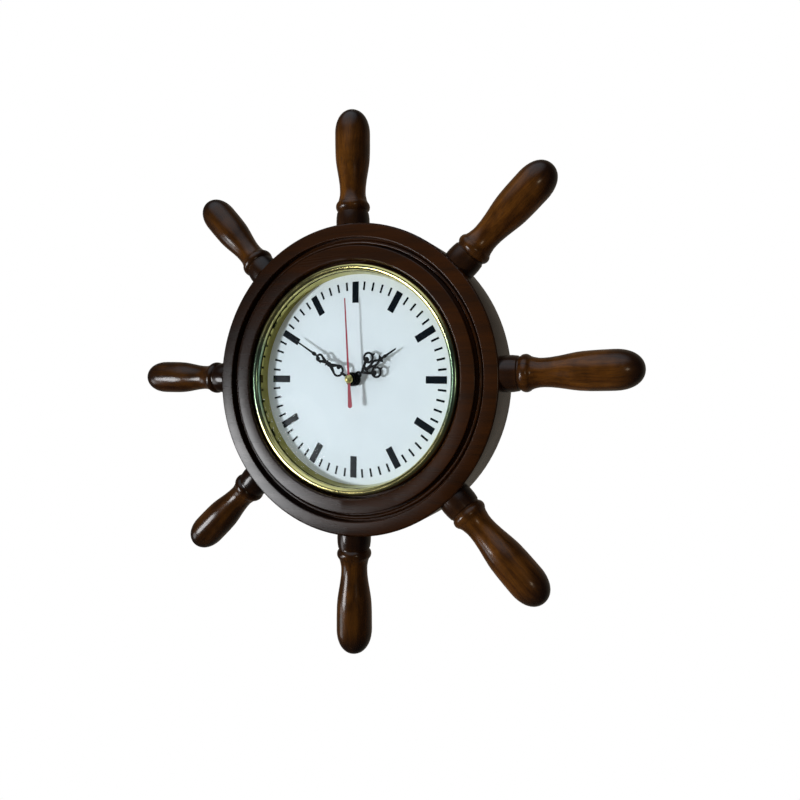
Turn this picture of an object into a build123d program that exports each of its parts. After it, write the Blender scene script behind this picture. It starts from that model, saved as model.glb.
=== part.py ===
from build123d import *
from math import asin, cos, radians, sin
import os

# Ship's wheel wall clock. It is modelled lying on its back, face up: x to the right,
# y towards twelve o'clock, z from the wall (z = 0) to the viewer. hang() stands it up.
# Sizes are in millimetres.

# The visible dial sets the radii of the bezel and of the rim round it
VIEW_RADIUS = 75.0

# Wheel rim, turned from one blank
OUTER_LAND = 9.9
GROOVE_WIDTH = 5.4
INNER_LAND = 10.2
RIM_DEPTH = 34.0
RIM_FRONT_ROUND = 1.4
RIM_BACK_ROUND = 1.5
GROOVE_DEPTH = 4.5
GROOVE_LIP_ROUND = 0.7
BEAD_WIDTH = 3.0
BEAD_HEIGHT = 1.5
BEZEL_SEAT_GAP = 1.6
BEZEL_SEAT_ROUND = 1.4
WEB_THICKNESS = 3.0

# Turned handles
HANDLE_COUNT = 8
# Each handle leans a little off the even pitch, in degrees clockwise, as the photograph shows.
HANDLE_LEAN = (-1.1, 0.8, -2.2, 0.3, -0.9, 2.1, 0.3, 1.3)
HANDLE_LENGTH = 83.2
HANDLE_AXIS_BEHIND_FACE = 12.0
COLLAR_RADIUS = 11.8
COLLAR_LENGTH = 9.6
QUIRK_DEPTH = 1.2
QUIRK_WIDTH = 1.4
HANDLE_BEAD_RADIUS = 12.0
HANDLE_BEAD_LENGTH = 6.4
NECK_RADIUS = 9.2
BELLY_RADIUS = 12.35
HANDLE_END_LENGTH = 17.0
NECK_SHARE = 0.22
SWELL_SHARE = 0.45
END_BLUNTNESS = 0.6
TENON_RADIUS = 4.5
TENON_LENGTH = 12.0
GLUE_GAP = 0.05

# Dial, its marks, spacer ring, glass and bezel
DIAL_BELOW_FACE = 13.0
DIAL_THICKNESS = 1.0
RECESS_GAP = 0.3
MARK_MARGIN = 6.0
HOUR_MARK_LENGTH = 15.0
HOUR_MARK_WIDTH = 5.0
MINUTE_MARK_LENGTH = 6.0
MINUTE_MARK_WIDTH = 1.45
MARK_THICKNESS = 0.1
SPACER_HEIGHT = 7.0
SPACER_WALL = 1.6
SPACER_SPLAY = 0.8
GLASS_THICKNESS = 1.3
GLASS_FLANGE = 2.4
GLASS_DOME_RISE = 5.5
BEZEL_WIDTH = 5.0
BEZEL_OVERHANG = 0.2
BEZEL_CREST_SHARE = 0.52
BEZEL_CREST_HEIGHT = 5.2
BEZEL_LIP = 0.4
BEZEL_SIDE = 1.8
BEZEL_GLASS_GAP = 0.2

# Battery movement
CASE_DEPTH = 14.5
CASE_ABOVE_SHAFT = 19.5
CASE_WALL = 1.2
CASE_CORNER = 2.0
COVER_THICKNESS = 1.2
POCKET_GAP = 1.0
RUBBER_THICKNESS = 0.8
RUBBER_RADIUS = 10.0
BAY_WIDTH = 15.3
BAY_FLOOR = 1.0
FINGER_NOTCH_RADIUS = 7.0
BATTERY_RADIUS = 7.25
BATTERY_BODY = 49.0
BATTERY_NUB_LENGTH = 1.4
BATTERY_NUB_RADIUS = 2.7
BATTERY_GAP = 0.25
BATTERY_ROUND = 0.8
CONTACT_THICKNESS = 0.4
CONTACT_WIDTH = 9.0
CONTACT_BULGE = 0.5
CONTACT_ROOM = 1.6

# Centre stack: second shaft inside the minute tube, inside the hour tube, inside the bush
RUNNING_GAP = 0.06
PRESS_GAP = 0.02
SECOND_SHAFT_RADIUS = 0.5
MINUTE_TUBE_RADIUS = 1.5
HOUR_TUBE_RADIUS = 2.3
BUSH_RADIUS = 3.5
BUSH_HOLE_GAP = 0.3
BUSH_ABOVE_DIAL = 3.6
WASHER_RADIUS = 4.9
WASHER_THICKNESS = 0.4
NUT_RADIUS = 4.8
NUT_HEIGHT = 2.0
NUT_SLOT_WIDTH = 1.2
NUT_SLOT_DEPTH = 0.8

# Gear train: teeth and modules
WHEEL_THICKNESS = 1.0
LEVEL_PITCH = 1.6
FIRST_LEVEL_GAP = 0.5
PINION_TEETH = 8
ROTOR_MODULE = 0.2917
FIFTH_TEETH = 40
SECOND_MODULE = 0.386
SECOND_TEETH = 48
THIRD_MODULE = 0.3
THIRD_TEETH = 60
MINUTE_TEETH = 64
CANNON_TEETH = 10
MOTION_TEETH = 30
HOUR_TEETH = 32
MOTION_MODULE = 0.42
ARBOR_RADIUS = 0.5
PIVOT_DEPTH = 0.5
PIVOT_END_GAP = 0.1
MOTION_POST_RADIUS = 0.7
MOTION_HUB_WALL = 0.4
SETTING_ARBOR_RADIUS = 1.0
KNOB_RADIUS = 5.5
KNOB_THICKNESS = 1.3
KNOB_GAP = 0.2
KNOB_FLUTES = 12
KNOB_FLUTE_RADIUS = 0.7
BRIDGE_THICKNESS = 1.0
BRIDGE_MARGIN = 3.0
POST_RADIUS = 1.6

# Directions of the arbors from the one that drives them, in degrees from x
FIFTH_DIRECTION = 150.0
ROTOR_DIRECTION = 205.0
THIRD_DIRECTION = 40.0
MOTION_DIRECTION = -60.0
SETTING_DIRECTION = -12.0

# Stepping motor and circuit
MAGNET_RADIUS = 2.6
MAGNET_HEIGHT = 3.0
AIR_GAP = 0.4
STATOR_THICKNESS = 0.8
STATOR_BELOW_FRONT = 4.4
STATOR_LIMB_MARGIN = 0.6
STATOR_ARM_REACH = 13.0
STATOR_POST_INSET = 1.5
COIL_X = -23.1
COIL_LENGTH = 16.0
COIL_RADIUS = 2.9
BOBBIN_FLANGE_RADIUS = 3.3
BOBBIN_FLANGE = 0.8
BOBBIN_TUBE_RADIUS = 1.7
CORE_WIDTH = 1.8
CORE_THICKNESS = 0.8
CORE_GAP = 0.1
BOARD_LENGTH = 20.0
BOARD_WIDTH = 5.0
BOARD_THICKNESS = 0.8
BOARD_X = -14.0
BOARD_EDGE_GAP = 0.4
CRYSTAL_RADIUS = 1.0
CRYSTAL_LENGTH = 6.0
CHIP_RADIUS = 1.8
CHIP_HEIGHT = 0.9

# Hands: angles are clockwise from twelve
HOUR_ANGLE = 58.0
MINUTE_ANGLE = 301.5
SECOND_ANGLE = 356.0
HAND_THICKNESS = 0.4
STRAND_WIDTH = 1.5
NEEDLE_TAPER = 0.6
HAND_STEP = 2.2
HOUR_HAND_LENGTH = 40.0
HOUR_HUB_RADIUS = 4.9
MINUTE_HAND_LENGTH = 55.0
MINUTE_HUB_RADIUS = 3.9
HUB_THICKNESS = 0.9
HUB_ABOVE_BUSH = 0.3
SECOND_HAND_LENGTH = 56.5
SECOND_TAIL_LENGTH = 20.0
SECOND_TAIL_WIDTH = 3.2
SECOND_WAIST_WIDTH = 1.6
SECOND_POINT_WIDTH = 0.8
SECOND_BLADE_THICKNESS = 0.3
SECOND_HUB_RADIUS = 2.2
CAP_RADIUS = 3.1
CAP_HEIGHT = 2.4
COLLET_RADIUS = 1.0
COLLET_LENGTH = 0.8

# Keyhole hanger let into the back
HANGER_WIDTH = 44.0
HANGER_HEIGHT = 24.0
HANGER_THICKNESS = 1.3
HANGER_CORNER = 3.0
HANGER_BELOW_EDGE = 27.3
HANGER_GAP = 0.3
KEYHOLE_RADIUS = 4.5
KEYHOLE_SLOT_WIDTH = 4.6
KEYHOLE_RISE = 8.0
KEYHOLE_POCKET_DEPTH = 7.0
KEYHOLE_POCKET_MARGIN = 1.2
SCREW_SPREAD = 17.0
SCREW_RADIUS = 1.5
SCREW_HEAD_RADIUS = 3.0
SCREW_LENGTH = 12.0

# Radii that follow from the sizes above
DIAL_RADIUS = VIEW_RADIUS + SPACER_WALL
RECESS_RADIUS = DIAL_RADIUS + RECESS_GAP
MARK_OUTER_RADIUS = VIEW_RADIUS - MARK_MARGIN
GLASS_RADIUS = VIEW_RADIUS + GLASS_FLANGE
BEZEL_INNER_RADIUS = VIEW_RADIUS + BEZEL_OVERHANG
BEZEL_OUTER_RADIUS = BEZEL_INNER_RADIUS + BEZEL_WIDTH
BEZEL_CREST_RADIUS = BEZEL_INNER_RADIUS + BEZEL_WIDTH * BEZEL_CREST_SHARE
BEZEL_SEAT_RADIUS = BEZEL_OUTER_RADIUS + BEZEL_SEAT_GAP
GROOVE_INNER_RADIUS = BEZEL_SEAT_RADIUS + INNER_LAND
GROOVE_OUTER_RADIUS = GROOVE_INNER_RADIUS + GROOVE_WIDTH
RIM_RADIUS = GROOVE_OUTER_RADIUS + OUTER_LAND
HANGER_Y = RIM_RADIUS - HANGER_BELOW_EDGE

# Heights that follow from the sizes above
DIAL_Z = RIM_DEPTH - DIAL_BELOW_FACE
WEB_FRONT_Z = DIAL_Z - DIAL_THICKNESS
WEB_BACK_Z = WEB_FRONT_Z - WEB_THICKNESS
GLASS_Z = DIAL_Z + SPACER_HEIGHT
CASE_FRONT_Z = WEB_BACK_Z - RUBBER_THICKNESS
CASE_INNER_Z = CASE_FRONT_Z - CASE_WALL
CASE_BACK_Z = CASE_FRONT_Z - CASE_DEPTH
COVER_Z = CASE_BACK_Z + COVER_THICKNESS
CASE_TOP_Y = CASE_ABOVE_SHAFT
CASE_SIDE = BATTERY_BODY + BATTERY_NUB_LENGTH + 2 * (CONTACT_ROOM + CASE_WALL)
CASE_BOTTOM_Y = CASE_ABOVE_SHAFT - CASE_SIDE
CASE_MIDDLE_Y = (CASE_TOP_Y + CASE_BOTTOM_Y) / 2
BAY_BOTTOM_Y = CASE_BOTTOM_Y + CASE_WALL
BAY_TOP_Y = BAY_BOTTOM_Y + BAY_WIDTH
TRAIN_BOTTOM_Y = BAY_TOP_Y + CASE_WALL
INNER_HALF = CASE_SIDE / 2 - CASE_WALL
BUSH_TOP_Z = DIAL_Z + BUSH_ABOVE_DIAL
HOUR_HAND_Z = BUSH_TOP_Z + HUB_ABOVE_BUSH
MINUTE_HAND_Z = HOUR_HAND_Z + HAND_STEP
SECOND_HAND_Z = MINUTE_HAND_Z + HAND_STEP
STATOR_Z = CASE_INNER_Z - STATOR_BELOW_FRONT
MINUTE_BORE = SECOND_SHAFT_RADIUS + RUNNING_GAP
HOUR_BORE = MINUTE_TUBE_RADIUS + RUNNING_GAP
BUSH_BORE = HOUR_TUBE_RADIUS + RUNNING_GAP
HANDLE_AXIS_Z = RIM_DEPTH - HANDLE_AXIS_BEHIND_FACE


def level_z(level):
    """Lower face of a wheel on one of the train's levels, counted from the dial side."""
    return CASE_INNER_Z - FIRST_LEVEL_GAP - level * LEVEL_PITCH - WHEEL_THICKNESS


HOUR_LEVEL = level_z(0)
CANNON_LEVEL = level_z(1)
MINUTE_LEVEL = level_z(2)
THIRD_LEVEL = level_z(3)
SECOND_LEVEL = level_z(4)
FIFTH_LEVEL = level_z(5)
BRIDGE_Z = level_z(6) + WHEEL_THICKNESS - BRIDGE_THICKNESS


def hang(shape):
    """Stands the clock up against the wall: face to -Y, twelve o'clock to +Z."""
    return Rot(90, 0, 0) * shape


def save(name, shape):
    """Writes one piece of the clock."""
    export_step(hang(shape), "parts/" + name + ".step")


def turned(*pieces):
    """A solid turned about the clock's axis from lines drawn as radius and height."""
    return revolve(Plane.XZ * make_face(Wire.combine([e for p in pieces for e in p.edges()])[0]), Axis.Z)


def disc(radius, z, height, x=0.0, y=0.0):
    """A round slug standing on z."""
    return Pos(x, y, z) * Cylinder(radius, height, align=(Align.CENTER, Align.CENTER, Align.MIN))


def tube(radius, bore, z, height, x=0.0, y=0.0):
    """A round sleeve standing on z."""
    return disc(radius, z, height, x, y) - disc(bore, z, height, x, y)


def block(x0, x1, y0, y1, z0, z1):
    """A box between two corners."""
    return Pos((x0 + x1) / 2, (y0 + y1) / 2, (z0 + z1) / 2) * Box(x1 - x0, y1 - y0, z1 - z0)


def plate(sketch, z, thickness):
    """A flat piece cut to a sketch, standing on z."""
    return Pos(0, 0, z) * extrude(sketch, thickness)


def hull_of(*rounds):
    """The flat shape that a band drawn tight round several circles would take."""
    return make_hull([edge for shape in rounds for edge in shape.edges()])


def at_angle(angle, shape):
    """Turns a piece clockwise from twelve o'clock."""
    return Rot(0, 0, -angle) * shape


# Wheel

def keyhole(margin=0.0):
    """Outline of the hanger's keyhole, with room to spare all round."""
    radius = KEYHOLE_RADIUS + margin
    width = KEYHOLE_SLOT_WIDTH + 2 * margin
    entry = Circle(radius)
    slot = Pos(0, KEYHOLE_RISE / 2) * Rectangle(width, KEYHOLE_RISE)
    top = Pos(0, KEYHOLE_RISE) * Circle(width / 2)
    return Pos(0, HANGER_Y - KEYHOLE_RISE / 2) * (entry + slot + top)


def hanger_outline(gap=0.0):
    """Outline of the hanger plate, or of its recess with the gap added."""
    shape = RectangleRounded(HANGER_WIDTH + 2 * gap, HANGER_HEIGHT + 2 * gap, HANGER_CORNER + gap)
    return Pos(0, HANGER_Y) * shape


def rim_blank():
    """The rim as it leaves the lathe: groove with a bead, bezel seat, dial recess and web."""
    groove_floor = RIM_DEPTH - GROOVE_DEPTH
    middle = (GROOVE_OUTER_RADIUS + GROOVE_INNER_RADIUS) / 2
    bead_outer = (middle + BEAD_WIDTH / 2, groove_floor)
    bead_inner = (middle - BEAD_WIDTH / 2, groove_floor)
    hole = BUSH_RADIUS + BUSH_HOLE_GAP
    outside = FilletPolyline(
        (hole, 0),
        (RIM_RADIUS, 0),
        (RIM_RADIUS, RIM_DEPTH),
        (GROOVE_OUTER_RADIUS, RIM_DEPTH),
        (GROOVE_OUTER_RADIUS, groove_floor),
        bead_outer,
        radius=[RIM_BACK_ROUND, RIM_FRONT_ROUND, GROOVE_LIP_ROUND, 0],
    )
    bead = ThreePointArc(bead_outer, (middle, groove_floor + BEAD_HEIGHT), bead_inner)
    inside = FilletPolyline(
        bead_inner,
        (GROOVE_INNER_RADIUS, groove_floor),
        (GROOVE_INNER_RADIUS, RIM_DEPTH),
        (BEZEL_SEAT_RADIUS, RIM_DEPTH),
        (BEZEL_SEAT_RADIUS, GLASS_Z),
        (RECESS_RADIUS, GLASS_Z),
        (RECESS_RADIUS, WEB_FRONT_Z),
        (hole, WEB_FRONT_Z),
        (hole, 0),
        radius=[0, GROOVE_LIP_ROUND, BEZEL_SEAT_ROUND, 0, 0, 0, 0],
    )
    return turned(outside, bead, inside)


def spoke_places():
    """The handles' places round the wheel, as turns of a piece that lies along y."""
    return [index * 360 / HANDLE_COUNT + lean for index, lean in enumerate(HANDLE_LEAN)]


def along_spoke(shape):
    """Lays a piece that was turned about z along the twelve o'clock spoke."""
    return Pos(0, 0, HANDLE_AXIS_Z) * Rot(-90, 0, 0) * shape


def wheel_rim():
    """The rim with the movement pocket, the handle sockets and the hanger recess cut."""
    pocket_side = CASE_SIDE + 2 * POCKET_GAP
    pocket = Pos(0, CASE_MIDDLE_Y) * RectangleRounded(pocket_side, pocket_side, CASE_CORNER + POCKET_GAP)
    rim = rim_blank() - plate(pocket, 0, WEB_BACK_Z)
    socket = along_spoke(disc(TENON_RADIUS + GLUE_GAP, RIM_RADIUS - TENON_LENGTH, TENON_LENGTH + 1))
    for angle in spoke_places():
        rim -= at_angle(angle, socket)
    rim -= plate(hanger_outline(HANGER_GAP), 0, HANGER_THICKNESS)
    rim -= plate(keyhole(KEYHOLE_POCKET_MARGIN), 0, KEYHOLE_POCKET_DEPTH)
    for x in (-SCREW_SPREAD, SCREW_SPREAD):
        rim -= disc(SCREW_RADIUS + GLUE_GAP, 0, SCREW_LENGTH, x, HANGER_Y)
    return rim


def handle():
    """One turned handle: coped collar, quirk, bead, waisted neck, belly and round end."""
    start = RIM_RADIUS - TENON_LENGTH + GLUE_GAP
    foot = RIM_RADIUS - COLLAR_RADIUS / 4
    collar_end = RIM_RADIUS + COLLAR_LENGTH
    bead_start = collar_end + QUIRK_WIDTH
    bead_end = bead_start + HANDLE_BEAD_LENGTH
    bead_middle = (bead_start + bead_end) / 2
    tip = RIM_RADIUS + HANDLE_LENGTH
    shoulder = COLLAR_RADIUS - QUIRK_DEPTH / 2
    quirk = COLLAR_RADIUS - QUIRK_DEPTH
    grip = tip - HANDLE_END_LENGTH - bead_end
    neck = (NECK_RADIUS, bead_end + grip * NECK_SHARE)
    swell = ((NECK_RADIUS + BELLY_RADIUS) / 2, bead_end + grip * SWELL_SHARE)
    belly = (BELLY_RADIUS, tip - HANDLE_END_LENGTH)
    round_off = belly[1] + HANDLE_END_LENGTH * END_BLUNTNESS
    lines = [
        Line((0, foot), (shoulder, foot)),
        ThreePointArc((shoulder, foot), (COLLAR_RADIUS, (foot + collar_end) / 2), (shoulder, collar_end)),
        Polyline((shoulder, collar_end), (quirk, bead_start - QUIRK_WIDTH / 2), (quirk, bead_start)),
        ThreePointArc((quirk, bead_start), (HANDLE_BEAD_RADIUS, bead_middle), (quirk, bead_end)),
        Spline((quirk, bead_end), neck, swell, belly, tangents=[(-1, 2), (0, 1)]),
        Bezier(belly, (BELLY_RADIUS, round_off), (BELLY_RADIUS * END_BLUNTNESS, tip), (0, tip)),
        Line((0, tip), (0, foot)),
    ]
    coped = along_spoke(turned(*lines)) - disc(RIM_RADIUS, 0, 2 * HANDLE_AXIS_Z)
    return coped + along_spoke(disc(TENON_RADIUS, start, collar_end - start))


def handles():
    """All the handles, each glued into its socket."""
    one = handle()
    return Compound([at_angle(angle, one) for angle in spoke_places()])


# Dial and its frame

def dial():
    """Thin metal dial with a hole for the bush."""
    return tube(DIAL_RADIUS, BUSH_RADIUS + BUSH_HOLE_GAP, WEB_FRONT_Z, DIAL_THICKNESS)


def marks(length, width, angles):
    """Printed bars that end on the same circle."""
    bar = Pos(0, MARK_OUTER_RADIUS - length / 2) * Rectangle(width, length)
    solid = plate(bar, DIAL_Z, MARK_THICKNESS)
    return Compound([at_angle(angle, solid) for angle in angles])


def hour_marks():
    """A broad bar at each hour."""
    return marks(HOUR_MARK_LENGTH, HOUR_MARK_WIDTH, range(0, 360, 30))


def minute_marks():
    """A fine bar at each minute between the hours."""
    return marks(MINUTE_MARK_LENGTH, MINUTE_MARK_WIDTH, [a for a in range(0, 360, 6) if a % 30])


def spacer_ring():
    """Polished ring that stands on the dial and carries the glass."""
    return turned(
        Polyline(
            (VIEW_RADIUS - SPACER_SPLAY, DIAL_Z),
            (DIAL_RADIUS, DIAL_Z),
            (DIAL_RADIUS, GLASS_Z),
            (VIEW_RADIUS, GLASS_Z),
            (VIEW_RADIUS - SPACER_SPLAY, DIAL_Z),
        )
    )


def dome_line(radius, z, rise):
    """Profile of a ball's cap that stands on z, from its rim up to the axis."""
    ball = (radius**2 + rise**2) / (2 * rise)
    return ThreePointArc(
        (radius, z),
        (ball * sin(asin(radius / ball) / 2), z + rise - ball * (1 - cos(asin(radius / ball) / 2))),
        (0, z + rise),
    )


def glass():
    """Domed glass with a flat ground edge."""
    top = GLASS_Z + GLASS_THICKNESS
    edge = Polyline(
        (VIEW_RADIUS, GLASS_Z),
        (GLASS_RADIUS, GLASS_Z),
        (GLASS_RADIUS, top),
        (VIEW_RADIUS, top),
    )
    middle = Line((0, top + GLASS_DOME_RISE), (0, GLASS_Z + GLASS_DOME_RISE))
    outside = dome_line(VIEW_RADIUS, top, GLASS_DOME_RISE)
    return turned(edge, outside, middle, dome_line(VIEW_RADIUS, GLASS_Z, GLASS_DOME_RISE))


def bezel():
    """Half-round brass ring that traps the glass."""
    under = GLASS_Z + GLASS_THICKNESS
    inner_bore = GLASS_RADIUS + BEZEL_GLASS_GAP
    lip = (BEZEL_INNER_RADIUS, under + BEZEL_LIP)
    side = (BEZEL_OUTER_RADIUS, GLASS_Z + BEZEL_SIDE)
    crest = (BEZEL_CREST_RADIUS, GLASS_Z + BEZEL_CREST_HEIGHT)
    return turned(
        ThreePointArc(lip, crest, side),
        Polyline(
            side,
            (BEZEL_OUTER_RADIUS, GLASS_Z),
            (inner_bore, GLASS_Z),
            (inner_bore, under),
            (BEZEL_INNER_RADIUS, under),
            lip,
        ),
    )


# Gears

def gear_distance(module, teeth_a, teeth_b):
    """Distance between the centres of two gears in mesh."""
    return module * (teeth_a + teeth_b) / 2


def away(start, direction, distance):
    """The point at a distance from another, in a direction in degrees from x."""
    return (start[0] + distance * cos(radians(direction)), start[1] + distance * sin(radians(direction)))


TRAIN_DISTANCE = gear_distance(THIRD_MODULE, PINION_TEETH, THIRD_TEETH)
MINUTE_MODULE = 2 * TRAIN_DISTANCE / (PINION_TEETH + MINUTE_TEETH)
MOTION_DISTANCE = gear_distance(MOTION_MODULE, CANNON_TEETH, MOTION_TEETH)
HOUR_MODULE = 2 * MOTION_DISTANCE / (PINION_TEETH + HOUR_TEETH)
CENTRE = (0.0, 0.0)
FIFTH_AT = away(CENTRE, FIFTH_DIRECTION, gear_distance(SECOND_MODULE, PINION_TEETH, SECOND_TEETH))
ROTOR_AT = away(FIFTH_AT, ROTOR_DIRECTION, gear_distance(ROTOR_MODULE, PINION_TEETH, FIFTH_TEETH))
THIRD_AT = away(CENTRE, THIRD_DIRECTION, TRAIN_DISTANCE)
MOTION_AT = away(CENTRE, MOTION_DIRECTION, MOTION_DISTANCE)
SETTING_AT = away(MOTION_AT, SETTING_DIRECTION, MOTION_DISTANCE)

# Tooth shape as shares of the module and of the tooth pitch
ADDENDUM = 0.75
DEDENDUM = 1.05
TIP_SHARE = 0.1
ROOT_SHARE = 0.27


def gear(teeth, module, z, at, facing, gap_faces=False):
    """A toothed disc. A tooth, or a gap for gap_faces, points in the direction of its mate."""
    pitch_radius = module * teeth / 2
    tip = pitch_radius + ADDENDUM * module
    root = pitch_radius - DEDENDUM * module
    pitch = 360 / teeth
    turn = facing + (pitch / 2 if gap_faces else 0)
    points = []
    for index in range(teeth):
        middle = turn + index * pitch
        for radius, share in ((root, -ROOT_SHARE), (tip, -TIP_SHARE), (tip, TIP_SHARE), (root, ROOT_SHARE)):
            points.append(away(CENTRE, middle + share * pitch, radius))
    outline = make_face(Polyline(*points, close=True))
    return plate(Pos(*at) * outline, z, WHEEL_THICKNESS)


def arbor(at, radius=ARBOR_RADIUS):
    """A spindle between the case's front wall and the bridge."""
    low = BRIDGE_Z + PIVOT_END_GAP
    return disc(radius, low, CASE_INNER_Z + PIVOT_DEPTH - PIVOT_END_GAP - low, *at)


def hour_wheel():
    """Hour wheel on the tube that carries the hour hand."""
    wheel = gear(HOUR_TEETH, HOUR_MODULE, HOUR_LEVEL, CENTRE, MOTION_DIRECTION)
    top = HOUR_HAND_Z + HUB_THICKNESS
    wheel += disc(HOUR_TUBE_RADIUS, HOUR_LEVEL, top - HOUR_LEVEL)
    return wheel - disc(HOUR_BORE, HOUR_LEVEL, top - HOUR_LEVEL)


def minute_wheel():
    """Minute wheel and cannon pinion on the tube that carries the minute hand."""
    top = MINUTE_HAND_Z + HUB_THICKNESS
    wheel = gear(MINUTE_TEETH, MINUTE_MODULE, MINUTE_LEVEL, CENTRE, THIRD_DIRECTION)
    wheel += gear(CANNON_TEETH, MOTION_MODULE, CANNON_LEVEL, CENTRE, MOTION_DIRECTION, True)
    wheel += disc(MINUTE_TUBE_RADIUS, MINUTE_LEVEL, top - MINUTE_LEVEL)
    return wheel - disc(MINUTE_BORE, MINUTE_LEVEL, top - MINUTE_LEVEL)


def second_wheel():
    """Second wheel and pinion on the shaft that carries the second hand."""
    low = BRIDGE_Z + PIVOT_END_GAP
    wheel = gear(SECOND_TEETH, SECOND_MODULE, SECOND_LEVEL, CENTRE, FIFTH_DIRECTION)
    wheel += gear(PINION_TEETH, THIRD_MODULE, THIRD_LEVEL, CENTRE, THIRD_DIRECTION, True)
    top = SECOND_HAND_Z + SECOND_BLADE_THICKNESS
    return wheel + disc(SECOND_SHAFT_RADIUS, low, top - low)


def third_wheel():
    """Third wheel and pinion: they gear the second shaft down to the minute wheel."""
    wheel = gear(THIRD_TEETH, THIRD_MODULE, THIRD_LEVEL, THIRD_AT, THIRD_DIRECTION + 180)
    wheel += gear(PINION_TEETH, MINUTE_MODULE, MINUTE_LEVEL, THIRD_AT, THIRD_DIRECTION + 180, True)
    return wheel + arbor(THIRD_AT)


def fifth_wheel():
    """Fifth wheel and pinion, between the rotor and the second wheel."""
    wheel = gear(FIFTH_TEETH, ROTOR_MODULE, FIFTH_LEVEL, FIFTH_AT, ROTOR_DIRECTION)
    wheel += gear(PINION_TEETH, SECOND_MODULE, SECOND_LEVEL, FIFTH_AT, FIFTH_DIRECTION + 180, True)
    return wheel + arbor(FIFTH_AT)


def rotor():
    """The stepping motor's magnet with its pinion."""
    wheel = gear(PINION_TEETH, ROTOR_MODULE, FIFTH_LEVEL, ROTOR_AT, ROTOR_DIRECTION + 180, True)
    magnet = disc(MAGNET_RADIUS, STATOR_Z - MAGNET_HEIGHT / 2, MAGNET_HEIGHT, *ROTOR_AT)
    return wheel + magnet + arbor(ROTOR_AT)


def motion_wheel():
    """Motion wheel and pinion, loose on a post of the case: minute tube to hour wheel."""
    back = MOTION_DIRECTION + 180
    wheel = gear(MOTION_TEETH, MOTION_MODULE, CANNON_LEVEL, MOTION_AT, back)
    wheel += gear(PINION_TEETH, HOUR_MODULE, HOUR_LEVEL, MOTION_AT, back, True)
    bore = MOTION_POST_RADIUS + RUNNING_GAP
    height = HOUR_LEVEL + WHEEL_THICKNESS - CANNON_LEVEL
    wheel += disc(bore + MOTION_HUB_WALL, CANNON_LEVEL, height, *MOTION_AT)
    return wheel - disc(bore, CANNON_LEVEL, height, *MOTION_AT)


def setting_knob():
    """Fluted knob at the back whose gear turns the motion wheel."""
    wheel = gear(CANNON_TEETH, MOTION_MODULE, CANNON_LEVEL, SETTING_AT, SETTING_DIRECTION + 180, True)
    knob_z = CASE_BACK_Z - KNOB_GAP - KNOB_THICKNESS
    knob = disc(KNOB_RADIUS, knob_z, KNOB_THICKNESS, *SETTING_AT)
    for index in range(KNOB_FLUTES):
        flute_at = away(SETTING_AT, index * 360 / KNOB_FLUTES, KNOB_RADIUS)
        knob -= disc(KNOB_FLUTE_RADIUS, knob_z, KNOB_THICKNESS, *flute_at)
    shaft_height = CANNON_LEVEL + WHEEL_THICKNESS - knob_z
    pivot_top = CASE_INNER_Z + PIVOT_DEPTH - PIVOT_END_GAP
    wheel += disc(SETTING_ARBOR_RADIUS, knob_z, shaft_height, *SETTING_AT)
    return wheel + knob + disc(ARBOR_RADIUS, knob_z, pivot_top - knob_z, *SETTING_AT)


# Movement

BRIDGE_POSTS = [(-5.0, 14.8), (18.5, 3.0), (-9.0, -10.5)]
STATOR_TOP = STATOR_Z + STATOR_THICKNESS / 2
STATOR_POST_Y = STATOR_ARM_REACH - STATOR_POST_INSET
STATOR_POSTS = [(COIL_X, STATOR_POST_Y), (COIL_X, -STATOR_POST_Y)]


def movement_case():
    """Moulded front shell: wheel chamber, battery bay, pivots and posts."""
    outline = Pos(0, CASE_MIDDLE_Y) * RectangleRounded(CASE_SIDE, CASE_SIDE, CASE_CORNER)
    case = plate(outline, CASE_BACK_Z, CASE_DEPTH)
    case -= block(-INNER_HALF, INNER_HALF, TRAIN_BOTTOM_Y, CASE_TOP_Y - CASE_WALL, CASE_BACK_Z, CASE_INNER_Z)
    case -= block(-INNER_HALF, INNER_HALF, BAY_BOTTOM_Y, BAY_TOP_Y, CASE_BACK_Z, CASE_FRONT_Z - BAY_FLOOR)
    case -= block(-CASE_SIDE, CASE_SIDE, BAY_TOP_Y, CASE_SIDE, CASE_BACK_Z, COVER_Z)
    notch = Pos(0, CASE_BOTTOM_Y + CASE_WALL / 2, CASE_BACK_Z) * Rot(90, 0, 0)
    case -= notch * Cylinder(FINGER_NOTCH_RADIUS, 2 * CASE_WALL)
    for seat, posts in ((BRIDGE_Z + BRIDGE_THICKNESS, BRIDGE_POSTS), (STATOR_TOP, STATOR_POSTS)):
        for x, y in posts:
            case += disc(POST_RADIUS, seat, CASE_INNER_Z - seat, x, y)
    post_end = CANNON_LEVEL - PIVOT_END_GAP
    case += disc(MOTION_POST_RADIUS, post_end, CASE_INNER_Z - post_end, *MOTION_AT)
    for at in (THIRD_AT, FIFTH_AT, ROTOR_AT, SETTING_AT):
        case -= disc(ARBOR_RADIUS + RUNNING_GAP, CASE_INNER_Z, PIVOT_DEPTH, *at)
    return case - disc(BUSH_RADIUS + PRESS_GAP, CASE_INNER_Z, CASE_WALL)


def movement_cover():
    """Flat back cover over the wheels, open at the knob."""
    cover = block(-CASE_SIDE / 2, CASE_SIDE / 2, BAY_TOP_Y, CASE_TOP_Y, CASE_BACK_Z, COVER_Z)
    corners = cover.edges().filter_by(Axis.Z).sort_by(Axis.Y)[-2:]
    cover = fillet(corners, CASE_CORNER)
    return cover - disc(SETTING_ARBOR_RADIUS + RUNNING_GAP, CASE_BACK_Z, COVER_THICKNESS, *SETTING_AT)


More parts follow.
